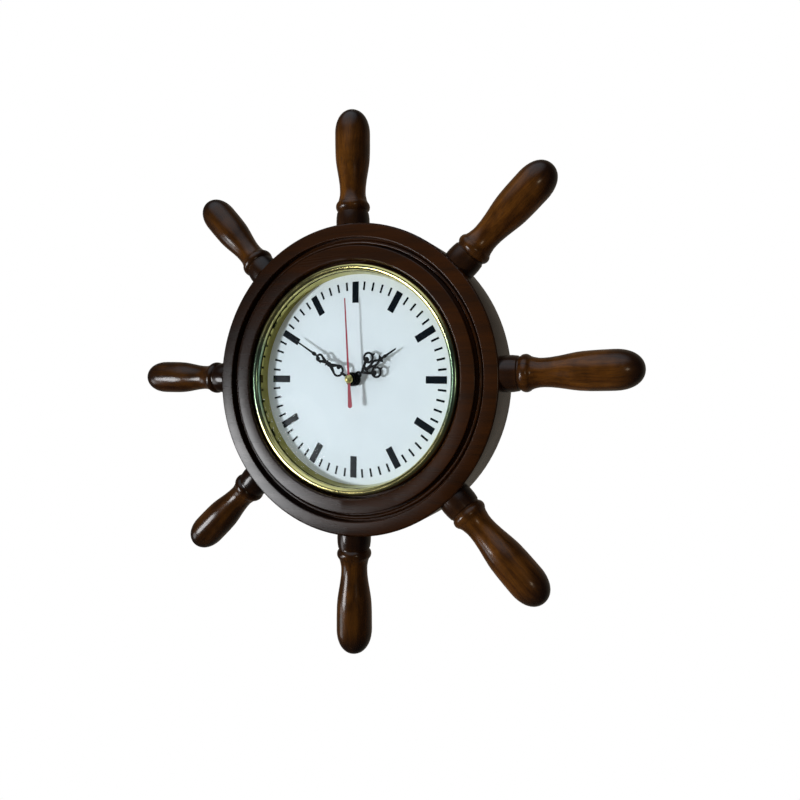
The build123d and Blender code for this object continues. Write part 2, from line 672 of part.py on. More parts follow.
def train_bridge():
    """Plate on three posts that holds the back pivots."""
    pivots = [CENTRE, THIRD_AT, FIFTH_AT, ROTOR_AT]
    rounds = [Pos(*at) * Circle(BRIDGE_MARGIN) for at in pivots + BRIDGE_POSTS]
    bridge = plate(hull_of(*rounds), BRIDGE_Z, BRIDGE_THICKNESS)
    for at in pivots:
        bridge -= disc(ARBOR_RADIUS + RUNNING_GAP, BRIDGE_Z, BRIDGE_THICKNESS, *at)
    return bridge


def threaded_bush():
    """Brass bush that carries the movement in the dial's centre hole."""
    return tube(BUSH_RADIUS, BUSH_BORE, CASE_INNER_Z, BUSH_TOP_Z - CASE_INNER_Z)


def fixing_nut():
    """Round nut with two spanner slots."""
    z = DIAL_Z + WASHER_THICKNESS
    nut = tube(NUT_RADIUS, BUSH_RADIUS + PRESS_GAP, z, NUT_HEIGHT)
    top = z + NUT_HEIGHT
    half = NUT_SLOT_WIDTH / 2
    return nut - block(-NUT_RADIUS, NUT_RADIUS, -half, half, top - NUT_SLOT_DEPTH, top)


def stator():
    """Iron plate round the rotor, with two arms to the coil's core."""
    limb_half = MAGNET_RADIUS + AIR_GAP + STATOR_LIMB_MARGIN
    right = ROTOR_AT[0] + limb_half
    left = COIL_X - CORE_WIDTH
    window_right = ROTOR_AT[0] - limb_half
    window_half = COIL_LENGTH / 2 + CORE_GAP
    base = Pos((left + right) / 2, 0) * Rectangle(right - left, 2 * STATOR_ARM_REACH)
    window = Pos((left + window_right) / 2, 0) * Rectangle(window_right - left, 2 * window_half)
    hole = Pos(*ROTOR_AT) * Circle(MAGNET_RADIUS + AIR_GAP)
    return plate(base - window - hole, STATOR_Z - STATOR_THICKNESS / 2, STATOR_THICKNESS)


CORE_TOP = STATOR_Z - STATOR_THICKNESS / 2
CORE_Z = CORE_TOP - CORE_THICKNESS / 2


def coil_core():
    """Iron bar through the coil, lying on the stator's arms."""
    half = CORE_WIDTH / 2
    low = CORE_TOP - CORE_THICKNESS
    return block(COIL_X - half, COIL_X + half, -STATOR_ARM_REACH, STATOR_ARM_REACH, low, CORE_TOP)


def coil_bobbin():
    """Plastic bobbin with a flange at each end."""
    spool = disc(BOBBIN_TUBE_RADIUS, -COIL_LENGTH / 2, COIL_LENGTH)
    for z in (-COIL_LENGTH / 2, COIL_LENGTH / 2 - BOBBIN_FLANGE):
        spool += disc(BOBBIN_FLANGE_RADIUS, z, BOBBIN_FLANGE)
    spool -= Box(CORE_WIDTH + 2 * CORE_GAP, CORE_THICKNESS + 2 * CORE_GAP, COIL_LENGTH)
    return Pos(COIL_X, 0, CORE_Z) * Rot(90, 0, 0) * spool


def coil_winding():
    """Copper winding, as one closed sleeve between the flanges."""
    length = COIL_LENGTH - 2 * BOBBIN_FLANGE
    sleeve = tube(COIL_RADIUS, BOBBIN_TUBE_RADIUS + PRESS_GAP, -length / 2, length)
    return Pos(COIL_X, 0, CORE_Z) * Rot(90, 0, 0) * sleeve


BOARD_Y = TRAIN_BOTTOM_Y + BOARD_EDGE_GAP + BOARD_WIDTH / 2
BOARD_Z = CASE_INNER_Z - BOARD_THICKNESS


def circuit_board():
    """Board against the case's front wall, with the sealed chip on it."""
    board = Pos(BOARD_X, BOARD_Y, BOARD_Z + BOARD_THICKNESS / 2)
    board *= Box(BOARD_LENGTH, BOARD_WIDTH, BOARD_THICKNESS)
    return board + disc(CHIP_RADIUS, BOARD_Z - CHIP_HEIGHT, CHIP_HEIGHT, BOARD_X - BOARD_LENGTH / 4, BOARD_Y)


def quartz_crystal():
    """Crystal can lying on the board."""
    can = Rot(0, 90, 0) * Cylinder(CRYSTAL_RADIUS, CRYSTAL_LENGTH)
    return Pos(BOARD_X + BOARD_LENGTH / 4, BOARD_Y, BOARD_Z - CRYSTAL_RADIUS) * can


BATTERY_Y = BAY_BOTTOM_Y + BAY_WIDTH / 2
BATTERY_Z = CASE_FRONT_Z - BAY_FLOOR - BATTERY_GAP - BATTERY_RADIUS


def battery():
    """Cylindrical cell, its raised contact to the right."""
    can = fillet(Cylinder(BATTERY_RADIUS, BATTERY_BODY).edges().filter_by(GeomType.CIRCLE), BATTERY_ROUND)
    nub = disc(BATTERY_NUB_RADIUS, BATTERY_BODY / 2, BATTERY_NUB_LENGTH)
    return Pos(-BATTERY_NUB_LENGTH / 2, BATTERY_Y, BATTERY_Z) * Rot(0, 90, 0) * (can + nub)


def contact(side):
    """Strip against the bay's end wall, bowed towards the cell; side is +1 or -1."""
    wall = side * INNER_HALF
    face = wall - side * CONTACT_THICKNESS
    bow = face - side * CONTACT_BULGE
    half = CONTACT_WIDTH / 2
    outline = make_face(
        [
            Polyline((face, half), (wall, half), (wall, -half), (face, -half)),
            ThreePointArc((face, -half), (bow, 0), (face, half)),
        ]
    )
    low = CASE_BACK_Z + COVER_THICKNESS
    return plate(Pos(0, BATTERY_Y) * outline, low, CASE_FRONT_Z - BAY_FLOOR - low)


# Hands, drawn pointing to twelve and then turned

def stroke(path, width=STRAND_WIDTH):
    """A strand of even width along a line."""
    return SlotArc(path.edge(), width)


def ring(radius, x, y):
    """A round loop of the strand's width about a middle radius."""
    return Pos(x, y) * (Circle(radius + STRAND_WIDTH / 2) - Circle(radius - STRAND_WIDTH / 2))


def teardrop(radius, y, point_y):
    """An open drop: round at one end, drawn to a point at the other."""
    fine = STRAND_WIDTH / 2
    outer = hull_of(Pos(0, y) * Circle(radius + fine), Pos(0, point_y) * Circle(fine))
    towards = 1 if y > point_y else -1
    inner_point = point_y + towards * 3 * STRAND_WIDTH
    inner = hull_of(Pos(0, y) * Circle(radius - fine), Pos(0, inner_point) * Circle(fine / 3))
    return outer - inner


def needle(start, end, width):
    """A tapering point from one height to another."""
    half = width / 2
    fine = half * NEEDLE_TAPER
    outline = Polyline(
        (-half, start),
        (half, start),
        (fine, end - half),
        (0, end),
        (-fine, end - half),
        close=True,
    )
    return make_face(outline)


def spear(y, reach, height):
    """A small cross-bar with pointed ends."""
    outline = Polyline(
        (0, y - height),
        (reach, y + height / 2),
        (0, y + height),
        (-reach, y + height / 2),
        close=True,
    )
    return make_face(outline)


def hour_sketch():
    """Hour hand, drawn 40 long: ring, two scrolls back to back, a cross-bar and a point."""
    shape = stroke(Line((0, 2), (0, 5))) + ring(1.7, 0, 6.3)
    shape += stroke(Line((0, 7.6), (0, 10))) + stroke(Line((0, 13), (0, 17.6)), 2.2)
    for side in (-1, 1):
        shape += stroke(ThreePointArc((0, 9.4), (side * 2.3, 12.3), (side * 4.6, 15.4)), 1.9)
        shape += stroke(ThreePointArc((0, 13.6), (side * 1.4, 13.2), (side * 2.5, 12.5)))
        shape += ring(3.3, side * 5.95, 18.9)
        shape += Pos(side * 5.5, 16.9) * Circle(2)
        shape += stroke(ThreePointArc((0, 17), (side * 1.4, 20), (0, 25)))
        shape += make_face(Polyline((side * 4.6, 22.0), (side * 7.2, 21.9), (side * 5.6, 25.0), close=True))
    shape += spear(26, 3.2, 1.8) + Pos(0, 30) * Ellipse(1.15, 1.8)
    shape += needle(25.5, 40, 1.7)
    return Circle(HOUR_HUB_RADIUS) + scale(shape, HOUR_HAND_LENGTH / 40)


def minute_sketch():
    """Minute hand, drawn 55 long: large drop, knot, small drop, bead and a long point."""
    shape = teardrop(3.7, 11.4, 20.2) + stroke(Line((0, 2), (0, 8)), 2)
    shape += Pos(2.4, 12.4) * Circle(1.6)
    shape += Pos(0, 20) * Ellipse(1.7, 2.3)
    shape += spear(21.8, 2.6, 1.4) + teardrop(2.3, 29, 22)
    shape += Pos(-1.4, 30) * Circle(1.6)
    shape += make_face(Polyline((-2.3, 28.6), (-1.2, 26.2), (-3.3, 26.6), close=True))
    shape += Pos(0, 34.7) * Ellipse(1.4, 2) + needle(31, 55, 1.5)
    return Circle(MINUTE_HUB_RADIUS) + scale(shape, MINUTE_HAND_LENGTH / 55)


def hand(sketch, hub_radius, bore, z):
    """A flat hand with a thicker hub, pressed on its tube."""
    blade = plate(sketch, z, HAND_THICKNESS) + disc(hub_radius, z, HUB_THICKNESS)
    return blade - disc(bore, z, HUB_THICKNESS)


def hour_hand():
    """Hour hand on the hour tube."""
    solid = hand(hour_sketch(), HOUR_HUB_RADIUS, HOUR_TUBE_RADIUS + PRESS_GAP, HOUR_HAND_Z)
    return at_angle(HOUR_ANGLE, solid)


def minute_hand():
    """Minute hand on the minute tube."""
    solid = hand(minute_sketch(), MINUTE_HUB_RADIUS, MINUTE_TUBE_RADIUS + PRESS_GAP, MINUTE_HAND_Z)
    return at_angle(MINUTE_ANGLE, solid)


def second_hand():
    """Needle with a tail that broadens to a round end."""
    tail = SECOND_TAIL_WIDTH / 2
    waist = SECOND_WAIST_WIDTH / 2
    point = SECOND_POINT_WIDTH / 2
    tail_end = tail - SECOND_TAIL_LENGTH
    sides = Polyline(
        (-tail, tail_end),
        (-waist, 0),
        (-point, SECOND_HAND_LENGTH),
        (point, SECOND_HAND_LENGTH),
        (waist, 0),
        (tail, tail_end),
    )
    end = ThreePointArc((tail, tail_end), (0, -SECOND_TAIL_LENGTH), (-tail, tail_end))
    outline = sides.edges() + end.edges()
    shape = make_face(outline) + Circle(SECOND_HUB_RADIUS) - Circle(COLLET_RADIUS + PRESS_GAP)
    return at_angle(SECOND_ANGLE, plate(shape, SECOND_HAND_Z, SECOND_BLADE_THICKNESS))


def second_hand_cap():
    """Domed brass cap with the collet that grips the second shaft."""
    seat = SECOND_HAND_Z + SECOND_BLADE_THICKNESS
    cap = turned(
        Line((0, seat), (CAP_RADIUS, seat)),
        dome_line(CAP_RADIUS, seat, CAP_HEIGHT),
        Line((0, seat + CAP_HEIGHT), (0, seat)),
    )
    low = SECOND_HAND_Z - COLLET_LENGTH
    cap += disc(COLLET_RADIUS, low, seat - low)
    return cap - disc(SECOND_SHAFT_RADIUS + PRESS_GAP, low, seat + PRESS_GAP - low)


# Hanger

def hanger_plate():
    """Steel plate with a keyhole, flush with the back."""
    solid = plate(hanger_outline() - keyhole(), 0, HANGER_THICKNESS)
    for x in (-SCREW_SPREAD, SCREW_SPREAD):
        solid -= screw_head(x, GLUE_GAP)
    return solid


def screw_head(x, gap=0.0):
    """Countersunk head, or its seat with the gap added."""
    cone = Cone(
        SCREW_HEAD_RADIUS + gap,
        SCREW_RADIUS + gap,
        HANGER_THICKNESS,
        align=(Align.CENTER, Align.CENTER, Align.MIN),
    )
    return Pos(x, HANGER_Y, 0) * cone


def hanger_screws():
    """Two countersunk wood screws."""
    screws = []
    for x in (-SCREW_SPREAD, SCREW_SPREAD):
        shank = disc(SCREW_RADIUS, HANGER_THICKNESS, SCREW_LENGTH - HANGER_THICKNESS - GLUE_GAP, x, HANGER_Y)
        screws.append(screw_head(x) + shank)
    return Compound(screws)


PIECES = {
    "wheel_rim": wheel_rim,
    "handles": handles,
    "dial": dial,
    "hour_marks": hour_marks,
    "minute_marks": minute_marks,
    "spacer_ring": spacer_ring,
    "glass": glass,
    "bezel": bezel,
    "hour_hand": hour_hand,
    "minute_hand": minute_hand,
    "second_hand": second_hand,
    "second_hand_cap": second_hand_cap,
    "hour_wheel": hour_wheel,
    "minute_wheel": minute_wheel,
    "second_wheel": second_wheel,
    "third_wheel": third_wheel,
    "fifth_wheel": fifth_wheel,
    "motion_wheel": motion_wheel,
    "rotor": rotor,
    "setting_knob": setting_knob,
    "movement_case": movement_case,
    "movement_cover": movement_cover,
    "train_bridge": train_bridge,
    "threaded_bush": threaded_bush,
    "rubber_washer": lambda: tube(RUBBER_RADIUS, BUSH_RADIUS + PRESS_GAP, CASE_FRONT_Z, RUBBER_THICKNESS),
    "dial_washer": lambda: tube(WASHER_RADIUS, BUSH_RADIUS + PRESS_GAP, DIAL_Z, WASHER_THICKNESS),
    "fixing_nut": fixing_nut,
    "stator": stator,
    "coil_core": coil_core,
    "coil_bobbin": coil_bobbin,
    "coil_winding": coil_winding,
    "circuit_board": circuit_board,
    "quartz_crystal": quartz_crystal,
    "battery": battery,
    "positive_contact": lambda: contact(1),
    "negative_contact": lambda: contact(-1),
    "hanger_plate": hanger_plate,
    "hanger_screws": hanger_screws,
}

os.makedirs("parts", exist_ok=True)
for piece_name, make_piece in PIECES.items():
    save(piece_name, make_piece())
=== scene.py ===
"""Finishes, studio light and the photograph's camera for a ship's wheel wall clock."""

import math

import bpy
from bpy.props import FloatProperty, FloatVectorProperty, PointerProperty
from mathutils import Matrix, Vector


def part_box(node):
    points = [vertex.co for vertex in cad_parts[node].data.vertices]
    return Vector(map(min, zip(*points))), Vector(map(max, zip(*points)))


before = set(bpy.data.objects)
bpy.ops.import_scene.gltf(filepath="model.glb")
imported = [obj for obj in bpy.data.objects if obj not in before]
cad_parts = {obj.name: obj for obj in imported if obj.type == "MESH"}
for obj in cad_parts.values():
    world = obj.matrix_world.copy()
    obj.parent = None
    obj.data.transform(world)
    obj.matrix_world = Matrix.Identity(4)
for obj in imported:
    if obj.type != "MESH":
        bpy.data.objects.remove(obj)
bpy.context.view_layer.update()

bl_info = {
    "name": "Ship's wheel clock",
    "version": (1, 0, 0),
    "blender": (4, 5, 0),
    "location": "3D View > Sidebar > Clock",
    "description": "Finishes, light and camera for a ship's wheel wall clock",
    "category": "Object",
}

HANDLE_COUNT = 8
HANDLE_SECTOR = 2 * math.pi / HANDLE_COUNT
HANDLE_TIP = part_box("handles")[1].z
RIM_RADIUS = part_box("wheel_rim")[1].z
# Only corners that already share a place are welded, in metres.
WELD_REACH = 1e-6
CREASE_ANGLE = math.radians(32)

# The side of the wheel that is drawn lightest, right and a little up, and how light it is.
PALE_SIDE = (0.93, 0.0, 0.36)
PALEST = 1.05
# Stain soaks into each handle's tip; round its foot by the rim, pooled stain and painted shade
# darken it. In metres.
TIP_STAIN_START = 0.022
TIP_STAIN_FULL = 0.004
FOOT_STAIN_AND_SHADE_FULL = 0.006
FOOT_STAIN_AND_SHADE_END = 0.022
SOAK_AND_SHADE_SHARE = 0.85
# How far the cell's sleeve stops short of each end, in metres.
SLEEVE_MARGIN = 0.0025

# Heights of the surface patterns, in metres.
PORE_DEPTH = 0.00006
LATHE_LINE_DEPTH = 0.00005
ROLLING_MARK_DEPTH = 0.00004
SKIN_DEPTH = 0.00005
WIRE_DEPTH = 0.0001

# Most of a noise texture's values lie between these two.
NOISE_LOW = 0.3
NOISE_HIGH = 0.7
# A wave texture at a scale of 1 repeats this often, in its own units.
WAVE_PERIOD = math.pi / 10
# Sockets of a Mix node that mixes colours, which share their names with its other kinds.
FACTOR, FIRST, SECOND = 0, 6, 7
MIXED = 2

FLOOR_SIZE = 0.9
FLOOR_MIDDLE_Y = -0.05
SENSOR_WIDTH_MM = 36.0
NEAR_CLIP = 0.01
# How far the photograph's middle lies off the lens's axis, in widths of the frame.
FRAME_SHIFT = (-0.00089, -0.027)


def linear(code):
    """Scene-linear colour of an sRGB hex value."""
    parts = [int(code[i:i + 2], 16) / 255 for i in (1, 3, 5)]
    rgb = [v / 12.92 if v <= 0.04045 else ((v + 0.055) / 1.055) ** 2.4 for v in parts]
    return (*rgb, 1.0)


def darker(tint, share):
    """A colour with this share of its brightness left."""
    return (*(part * share for part in tint[:3]), 1.0)


def grey(level):
    """A neutral colour, for a pattern that only darkens what it lies on."""
    return (level, level, level, 1.0)


def colour(name, description, code):
    """A colour that the user may change."""
    return FloatVectorProperty(
        name=name,
        description=description,
        subtype="COLOR",
        size=4,
        min=0.0,
        max=1.0,
        default=linear(code),
    )


def per_mm(width):
    """Scale of a pattern whose features are this many millimetres wide."""
    return 1000.0 / width


def start(kind, name):
    """An empty material or world, ready for its nodes."""
    made = kind.new(name)
    made.use_nodes = True
    made.node_tree.nodes.clear()
    return made


def add_node(material, kind, inputs=None, stops=None, **settings):
    """Adds one node: a socket among the inputs is linked, any other value is set."""
    tree = material.node_tree
    node = tree.nodes.new(kind)
    for name, value in settings.items():
        setattr(node, name, value)
    if stops:
        elements = node.color_ramp.elements
        while len(elements) < len(stops):
            elements.new(0.5)
        for element, (place, tint) in zip(elements, stops):
            element.position = place
            element.color = tint
    for name, value in (inputs or {}).items():
        if isinstance(value, bpy.types.NodeSocket):
            tree.links.new(value, node.inputs[name])
        else:
            node.inputs[name].default_value = value
    return node


def dress(material, *names):
    """Gives CAD nodes their finish, smooth over gentle edges and crisp over sharp ones."""
    for name in names:
        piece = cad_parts[name]
        piece.data.materials.clear()
        piece.data.materials.append(material)
        weld = piece.modifiers.new("weld", "WELD")
        weld.merge_threshold = WELD_REACH
        crease = piece.modifiers.new("crease", "EDGE_SPLIT")
        crease.split_angle = CREASE_ANGLE
        piece.data.polygons.foreach_set("use_smooth", [True] * len(piece.data.polygons))


class WheelFinish(bpy.types.PropertyGroup):
    """Colours and sheen of the turned wood."""

    rim_dark: colour("Rim stain", "Stain in the rim's late wood", "#2E1502")
    rim_light: colour("Rim grain", "Stain in the rim's early wood", "#3D1D04")
    handle_dark: colour("Handle stain", "Stain in the handles' late wood", "#422108")
    handle_light: colour("Handle grain", "Stain in the handles' early wood", "#7B4815")
    # Painted at the tips as soaked-in stain, and round the feet as stain and painted shade.
    handle_soak_and_shade: colour("Handle tip", "Stain soaked into the handles' end grain", "#1E100A")
    rim_sheen: FloatProperty(
        name="Rim roughness",
        description="Roughness of the rim's satin varnish",
        default=0.27,
        min=0.0,
        max=1.0,
        subtype="FACTOR",
    )
    handle_sheen: FloatProperty(
        name="Handle roughness",
        description="Roughness of the handles' gloss varnish",
        default=0.2,
        min=0.0,
        max=1.0,
        subtype="FACTOR",
    )


class DialFinish(bpy.types.PropertyGroup):
    """Colours of the dial, its print and the hands."""

    enamel: colour("Dial", "Enamelled face of the dial", "#F1F3F4")
    print_black: colour("Marks", "Ink of the hour and minute marks", "#030D15")
    hand_black: colour("Hour and minute hands", "Paint of the two black hands", "#07080A")
    hand_red: colour("Second hand", "Paint of the second hand", "#A4263A")


class MetalFinish(bpy.types.PropertyGroup):
    """Colours of the bare metals."""

    brass: colour("Brass", "Lacquered brass of the bezel and fittings", "#DDD08A")
    # Painted reflection: a green cast painted into the brass at the clock's left and right sides.
    green_side_reflection: colour("Tarnish", "Green cast of brass whose lacquer has worn thin", "#8CA98C")
    spacer: colour("Spacer", "Gilt ring between the dial and the glass", "#B9B068")
    steel: colour("Plated steel", "Hanger, screws and contacts", "#B9B6AE")
    copper: colour("Copper", "Enamelled winding wire", "#B4612F")


class MovementFinish(bpy.types.PropertyGroup):
    """Colours of the quartz movement."""

    case_black: colour("Case", "Moulded case and cover", "#17171A")
    gear: colour("Gears", "Moulded gear wheels", "#E7E3D6")
    board: colour("Board", "Resin circuit board", "#6B4A24")
    cell: colour("Cell jacket", "Plain jacket of the dry cell", "#5D6D7A")


class StageSettings(bpy.types.PropertyGroup):
    """Camera, lamps and floor."""

    camera_place: FloatVectorProperty(
        name="Camera place",
        description="Where the photograph was taken from",
        default=(0.20364, -0.397, -0.00371),
        subtype="TRANSLATION",
        unit="LENGTH",
    )
    camera_yaw: FloatProperty(
        name="Camera yaw",
        description="Turn of the camera to the left",
        default=math.radians(24.08),
        subtype="ANGLE",
    )
    camera_pitch: FloatProperty(
        name="Camera pitch",
        description="How steeply the camera looks down",
        default=math.radians(-0.64),
        subtype="ANGLE",
    )
    camera_roll: FloatProperty(
        name="Camera roll",
        description="Lean of the camera",
        default=math.radians(0.63),
        subtype="ANGLE",
    )
    lens: FloatProperty(
        name="Lens",
        description="Focal length on a 36 mm sensor, in millimetres",
        default=27.237,
        min=1.0,
    )
    floor_depth: FloatProperty(
        name="Floor depth",
        description="How far the floor lies under the clock's centre",
        default=0.8,
        unit="LENGTH",
    )
    window: colour("Window light", "Cool daylight from the left", "#E8F3FC")
    sheen: colour("Sheen light", "Whiter daylight mirrored in the varnish", "#F3F5F8")
    room: colour("Room light", "Light that the pale room gives back", "#DEECFA")
    wall: colour("Wall light", "Warm light from the wall behind the clock", "#F2E3C8")
    floor: colour("Floor", "Pale studio floor", "#EFEBE4")
    key_power: FloatProperty(
        name="Key power",
        description="Power of the lamp that casts the hands' shadows, in watts",
        default=22.6,
        min=0.0,
    )
    sheen_power: FloatProperty(
        name="Sheen power",
        description="Power of the broad lamp mirrored in the rim's varnish, in watts",
        default=8.6,
        min=0.0,
    )
    side_power: FloatProperty(
        name="Side power",
        description="Power of the small lamp on the right, in watts",
        default=0.45,
        min=0.0,
    )
    back_power: FloatProperty(
        name="Back power",
        description="Power of the broad lamp behind the clock, in watts",
        default=11.0,
        min=0.0,
    )
    room_level: FloatProperty(
        name="Room level",
        description="Brightness of the room all round",
        default=0.04,
        min=0.0,
    )
    window_level: FloatProperty(
        name="Window level",
        description="Brightness of the soft window on the left",
        default=3.5,
        min=0.0,
    )
    ceiling_level: FloatProperty(
        name="Ceiling level",
        description="Brightness of the lit ceiling",
        default=1.15,
        min=0.0,
    )
    wall_level: FloatProperty(
        name="Wall level",
        description="Brightness of the pale wall behind the clock",
        default=0.2,
        min=0.0,
    )


def lower_left_darkening(wood, place, tint, deepest):
    """Darkens a wood colour towards the wheel's lower left."""
    side = add_node(
        wood,
        "ShaderNodeVectorMath",
        {0: place.outputs["Object"], 1: PALE_SIDE},
        operation="DOT_PRODUCT",
    )
    drift = add_node(
        wood,
        "ShaderNodeMapRange",
        {
            "Value": side.outputs["Value"],
            "From Min": -RIM_RADIUS,
            "From Max": RIM_RADIUS / 2,
            "To Min": deepest,
            "To Max": PALEST,
        },
        interpolation_type="SMOOTHSTEP",
    )
    return add_node(
        wood,
        "ShaderNodeVectorMath",
        {0: tint, "Scale": drift.outputs["Result"]},
        operation="SCALE",
    ).outputs["Vector"]


def stained_walnut(finish):
    """Walnut under dark stain and satin varnish: near black-brown, faint straight grain and
    short open pores, with a soft sheen that turns grey where the light grazes it."""
    wood = start(bpy.data.materials, "stained_walnut_satin")
    place = add_node(wood, "ShaderNodeTexCoord")
    # Growth bands about 7 mm wide, drawn out fourteen times along the board.
    along = add_node(
        wood,
        "ShaderNodeMapping",
        {"Vector": place.outputs["Object"], "Scale": (0.07, 1.0, 1.0)},
    )
    bands = add_node(
        wood,
        "ShaderNodeTexNoise",
        {"Vector": along.outputs["Vector"], "Scale": per_mm(7.0), "Detail": 4.0, "Distortion": 0.6},
    )
    # Pores 0.3 mm wide in the wood; drawn 0.9 mm wide so that they show.
    pores = add_node(
        wood,
        "ShaderNodeTexNoise",
        {"Vector": along.outputs["Vector"], "Scale": per_mm(0.9), "Detail": 2.0},
    )
    # Stain soaks in unevenly over patches about 45 mm across.
    patches = add_node(
        wood,
        "ShaderNodeTexNoise",
        {"Vector": place.outputs["Object"], "Scale": per_mm(45.0), "Detail": 2.0},
    )
    grain = add_node(
        wood,
        "ShaderNodeValToRGB",
        {"Fac": bands.outputs["Fac"]},
        stops=((0.36, finish.rim_dark[:]), (0.62, finish.rim_light[:])),
    )
    pore_shade = add_node(
        wood,
        "ShaderNodeValToRGB",
        {"Fac": pores.outputs["Fac"]},
        stops=((0.34, grey(0.88)), (0.48, grey(1.0))),
    )
    patch_shade = add_node(
        wood,
        "ShaderNodeValToRGB",
        {"Fac": patches.outputs["Fac"]},
        stops=((0.3, grey(0.72)), (0.7, grey(1.0))),
    )
    pored = add_node(
        wood,
        "ShaderNodeMix",
        {FACTOR: 1.0, FIRST: grain.outputs["Color"], SECOND: pore_shade.outputs["Color"]},
        data_type="RGBA",
        blend_type="MULTIPLY",
    )
    stained = add_node(
        wood,
        "ShaderNodeMix",
        {FACTOR: 1.0, FIRST: pored.outputs[MIXED], SECOND: patch_shade.outputs["Color"]},
        data_type="RGBA",
        blend_type="MULTIPLY",
    )
    sheen = add_node(
        wood,
        "ShaderNodeMapRange",
        {
            "Value": bands.outputs["Fac"],
            "From Min": NOISE_LOW,
            "From Max": NOISE_HIGH,
            "To Min": finish.rim_sheen + 0.02,
            "To Max": finish.rim_sheen - 0.02,
        },
    )
    relief = add_node(
        wood,
        "ShaderNodeBump",
        {"Height": pore_shade.outputs["Color"], "Strength": 0.12, "Distance": PORE_DEPTH},
    )
    shader = add_node(
        wood,
        "ShaderNodeBsdfPrincipled",
        {
            "Base Color": lower_left_darkening(wood, place, stained.outputs[MIXED], deepest=0.3),
            "Roughness": sheen.outputs["Result"],
            "Normal": relief.outputs["Normal"],
            "IOR": 1.5,
            "Specular IOR Level": 0.28,
        },
    )
    add_node(wood, "ShaderNodeOutputMaterial", {"Surface": shader.outputs["BSDF"]})
    return wood


def handle_axes(wood, place):
    """Each handle's own axes, as the handles point out from the wheel's centre: a place across,
    through and along the handle, the handle's number, and the reach from the centre."""
    split = add_node(wood, "ShaderNodeSeparateXYZ", {"Vector": place.outputs["Object"]})
    bearing = add_node(
        wood, "ShaderNodeMath", {0: split.outputs["X"], 1: split.outputs["Z"]}, operation="ARCTAN2"
    )
    turns = add_node(
        wood, "ShaderNodeMath", {0: bearing.outputs[0], 1: HANDLE_SECTOR}, operation="DIVIDE"
    )
    handle = add_node(wood, "ShaderNodeMath", {0: turns.outputs[0]}, operation="ROUND")
    off_turns = add_node(
        wood, "ShaderNodeMath", {0: turns.outputs[0], 1: handle.outputs[0]}, operation="SUBTRACT"
    )
    off_axis = add_node(
        wood, "ShaderNodeMath", {0: off_turns.outputs[0], 1: HANDLE_SECTOR}, operation="MULTIPLY"
    )
    flat = add_node(
        wood,
        "ShaderNodeCombineXYZ",
        {"X": split.outputs["X"], "Z": split.outputs["Z"]},
    )
    reach = add_node(wood, "ShaderNodeVectorMath", {0: flat.outputs[0]}, operation="LENGTH")
    sine = add_node(wood, "ShaderNodeMath", {0: off_axis.outputs[0]}, operation="SINE")
    cosine = add_node(wood, "ShaderNodeMath", {0: off_axis.outputs[0]}, operation="COSINE")
    across = add_node(
        wood,
        "ShaderNodeMath",
        {0: reach.outputs["Value"], 1: sine.outputs[0]},
        operation="MULTIPLY",
    )
    out = add_node(
        wood,
        "ShaderNodeMath",
        {0: reach.outputs["Value"], 1: cosine.outputs[0]},
        operation="MULTIPLY",
    )
    own = add_node(
        wood,
        "ShaderNodeCombineXYZ",
        {"X": across.outputs[0], "Y": split.outputs["Y"], "Z": out.outputs[0]},
    )
    return own.outputs[0], handle.outputs[0], reach.outputs["Value"]


def soaked_tips_shaded_feet(wood, reach):
    """How much stain each handle soaked up at its tip, and how much pooled stain and painted shade
    darken it round its foot.
    """
    # The end grain darkens each handle's tip.
    end = add_node(
        wood,
        "ShaderNodeMapRange",
        {
            "Value": reach,
            "From Min": HANDLE_TIP - TIP_STAIN_START,
            "From Max": HANDLE_TIP - TIP_STAIN_FULL,
            "To Max": SOAK_AND_SHADE_SHARE,
        },
        interpolation_type="SMOOTHSTEP",
    )
    # Round the collar and the bead: pooled stain, and painted shade where the rim shades the foot.
    foot = add_node(
        wood,
        "ShaderNodeMapRange",
        {
            "Value": reach,
            "From Min": RIM_RADIUS + FOOT_STAIN_AND_SHADE_FULL,
            "From Max": RIM_RADIUS + FOOT_STAIN_AND_SHADE_END,
            "To Min": SOAK_AND_SHADE_SHARE,
            "To Max": 0.0,
        },
        interpolation_type="SMOOTHSTEP",
    )
    return add_node(
        wood,
        "ShaderNodeMath",
        {0: end.outputs["Result"], 1: foot.outputs["Result"]},
        operation="MAXIMUM",
    ).outputs[0]


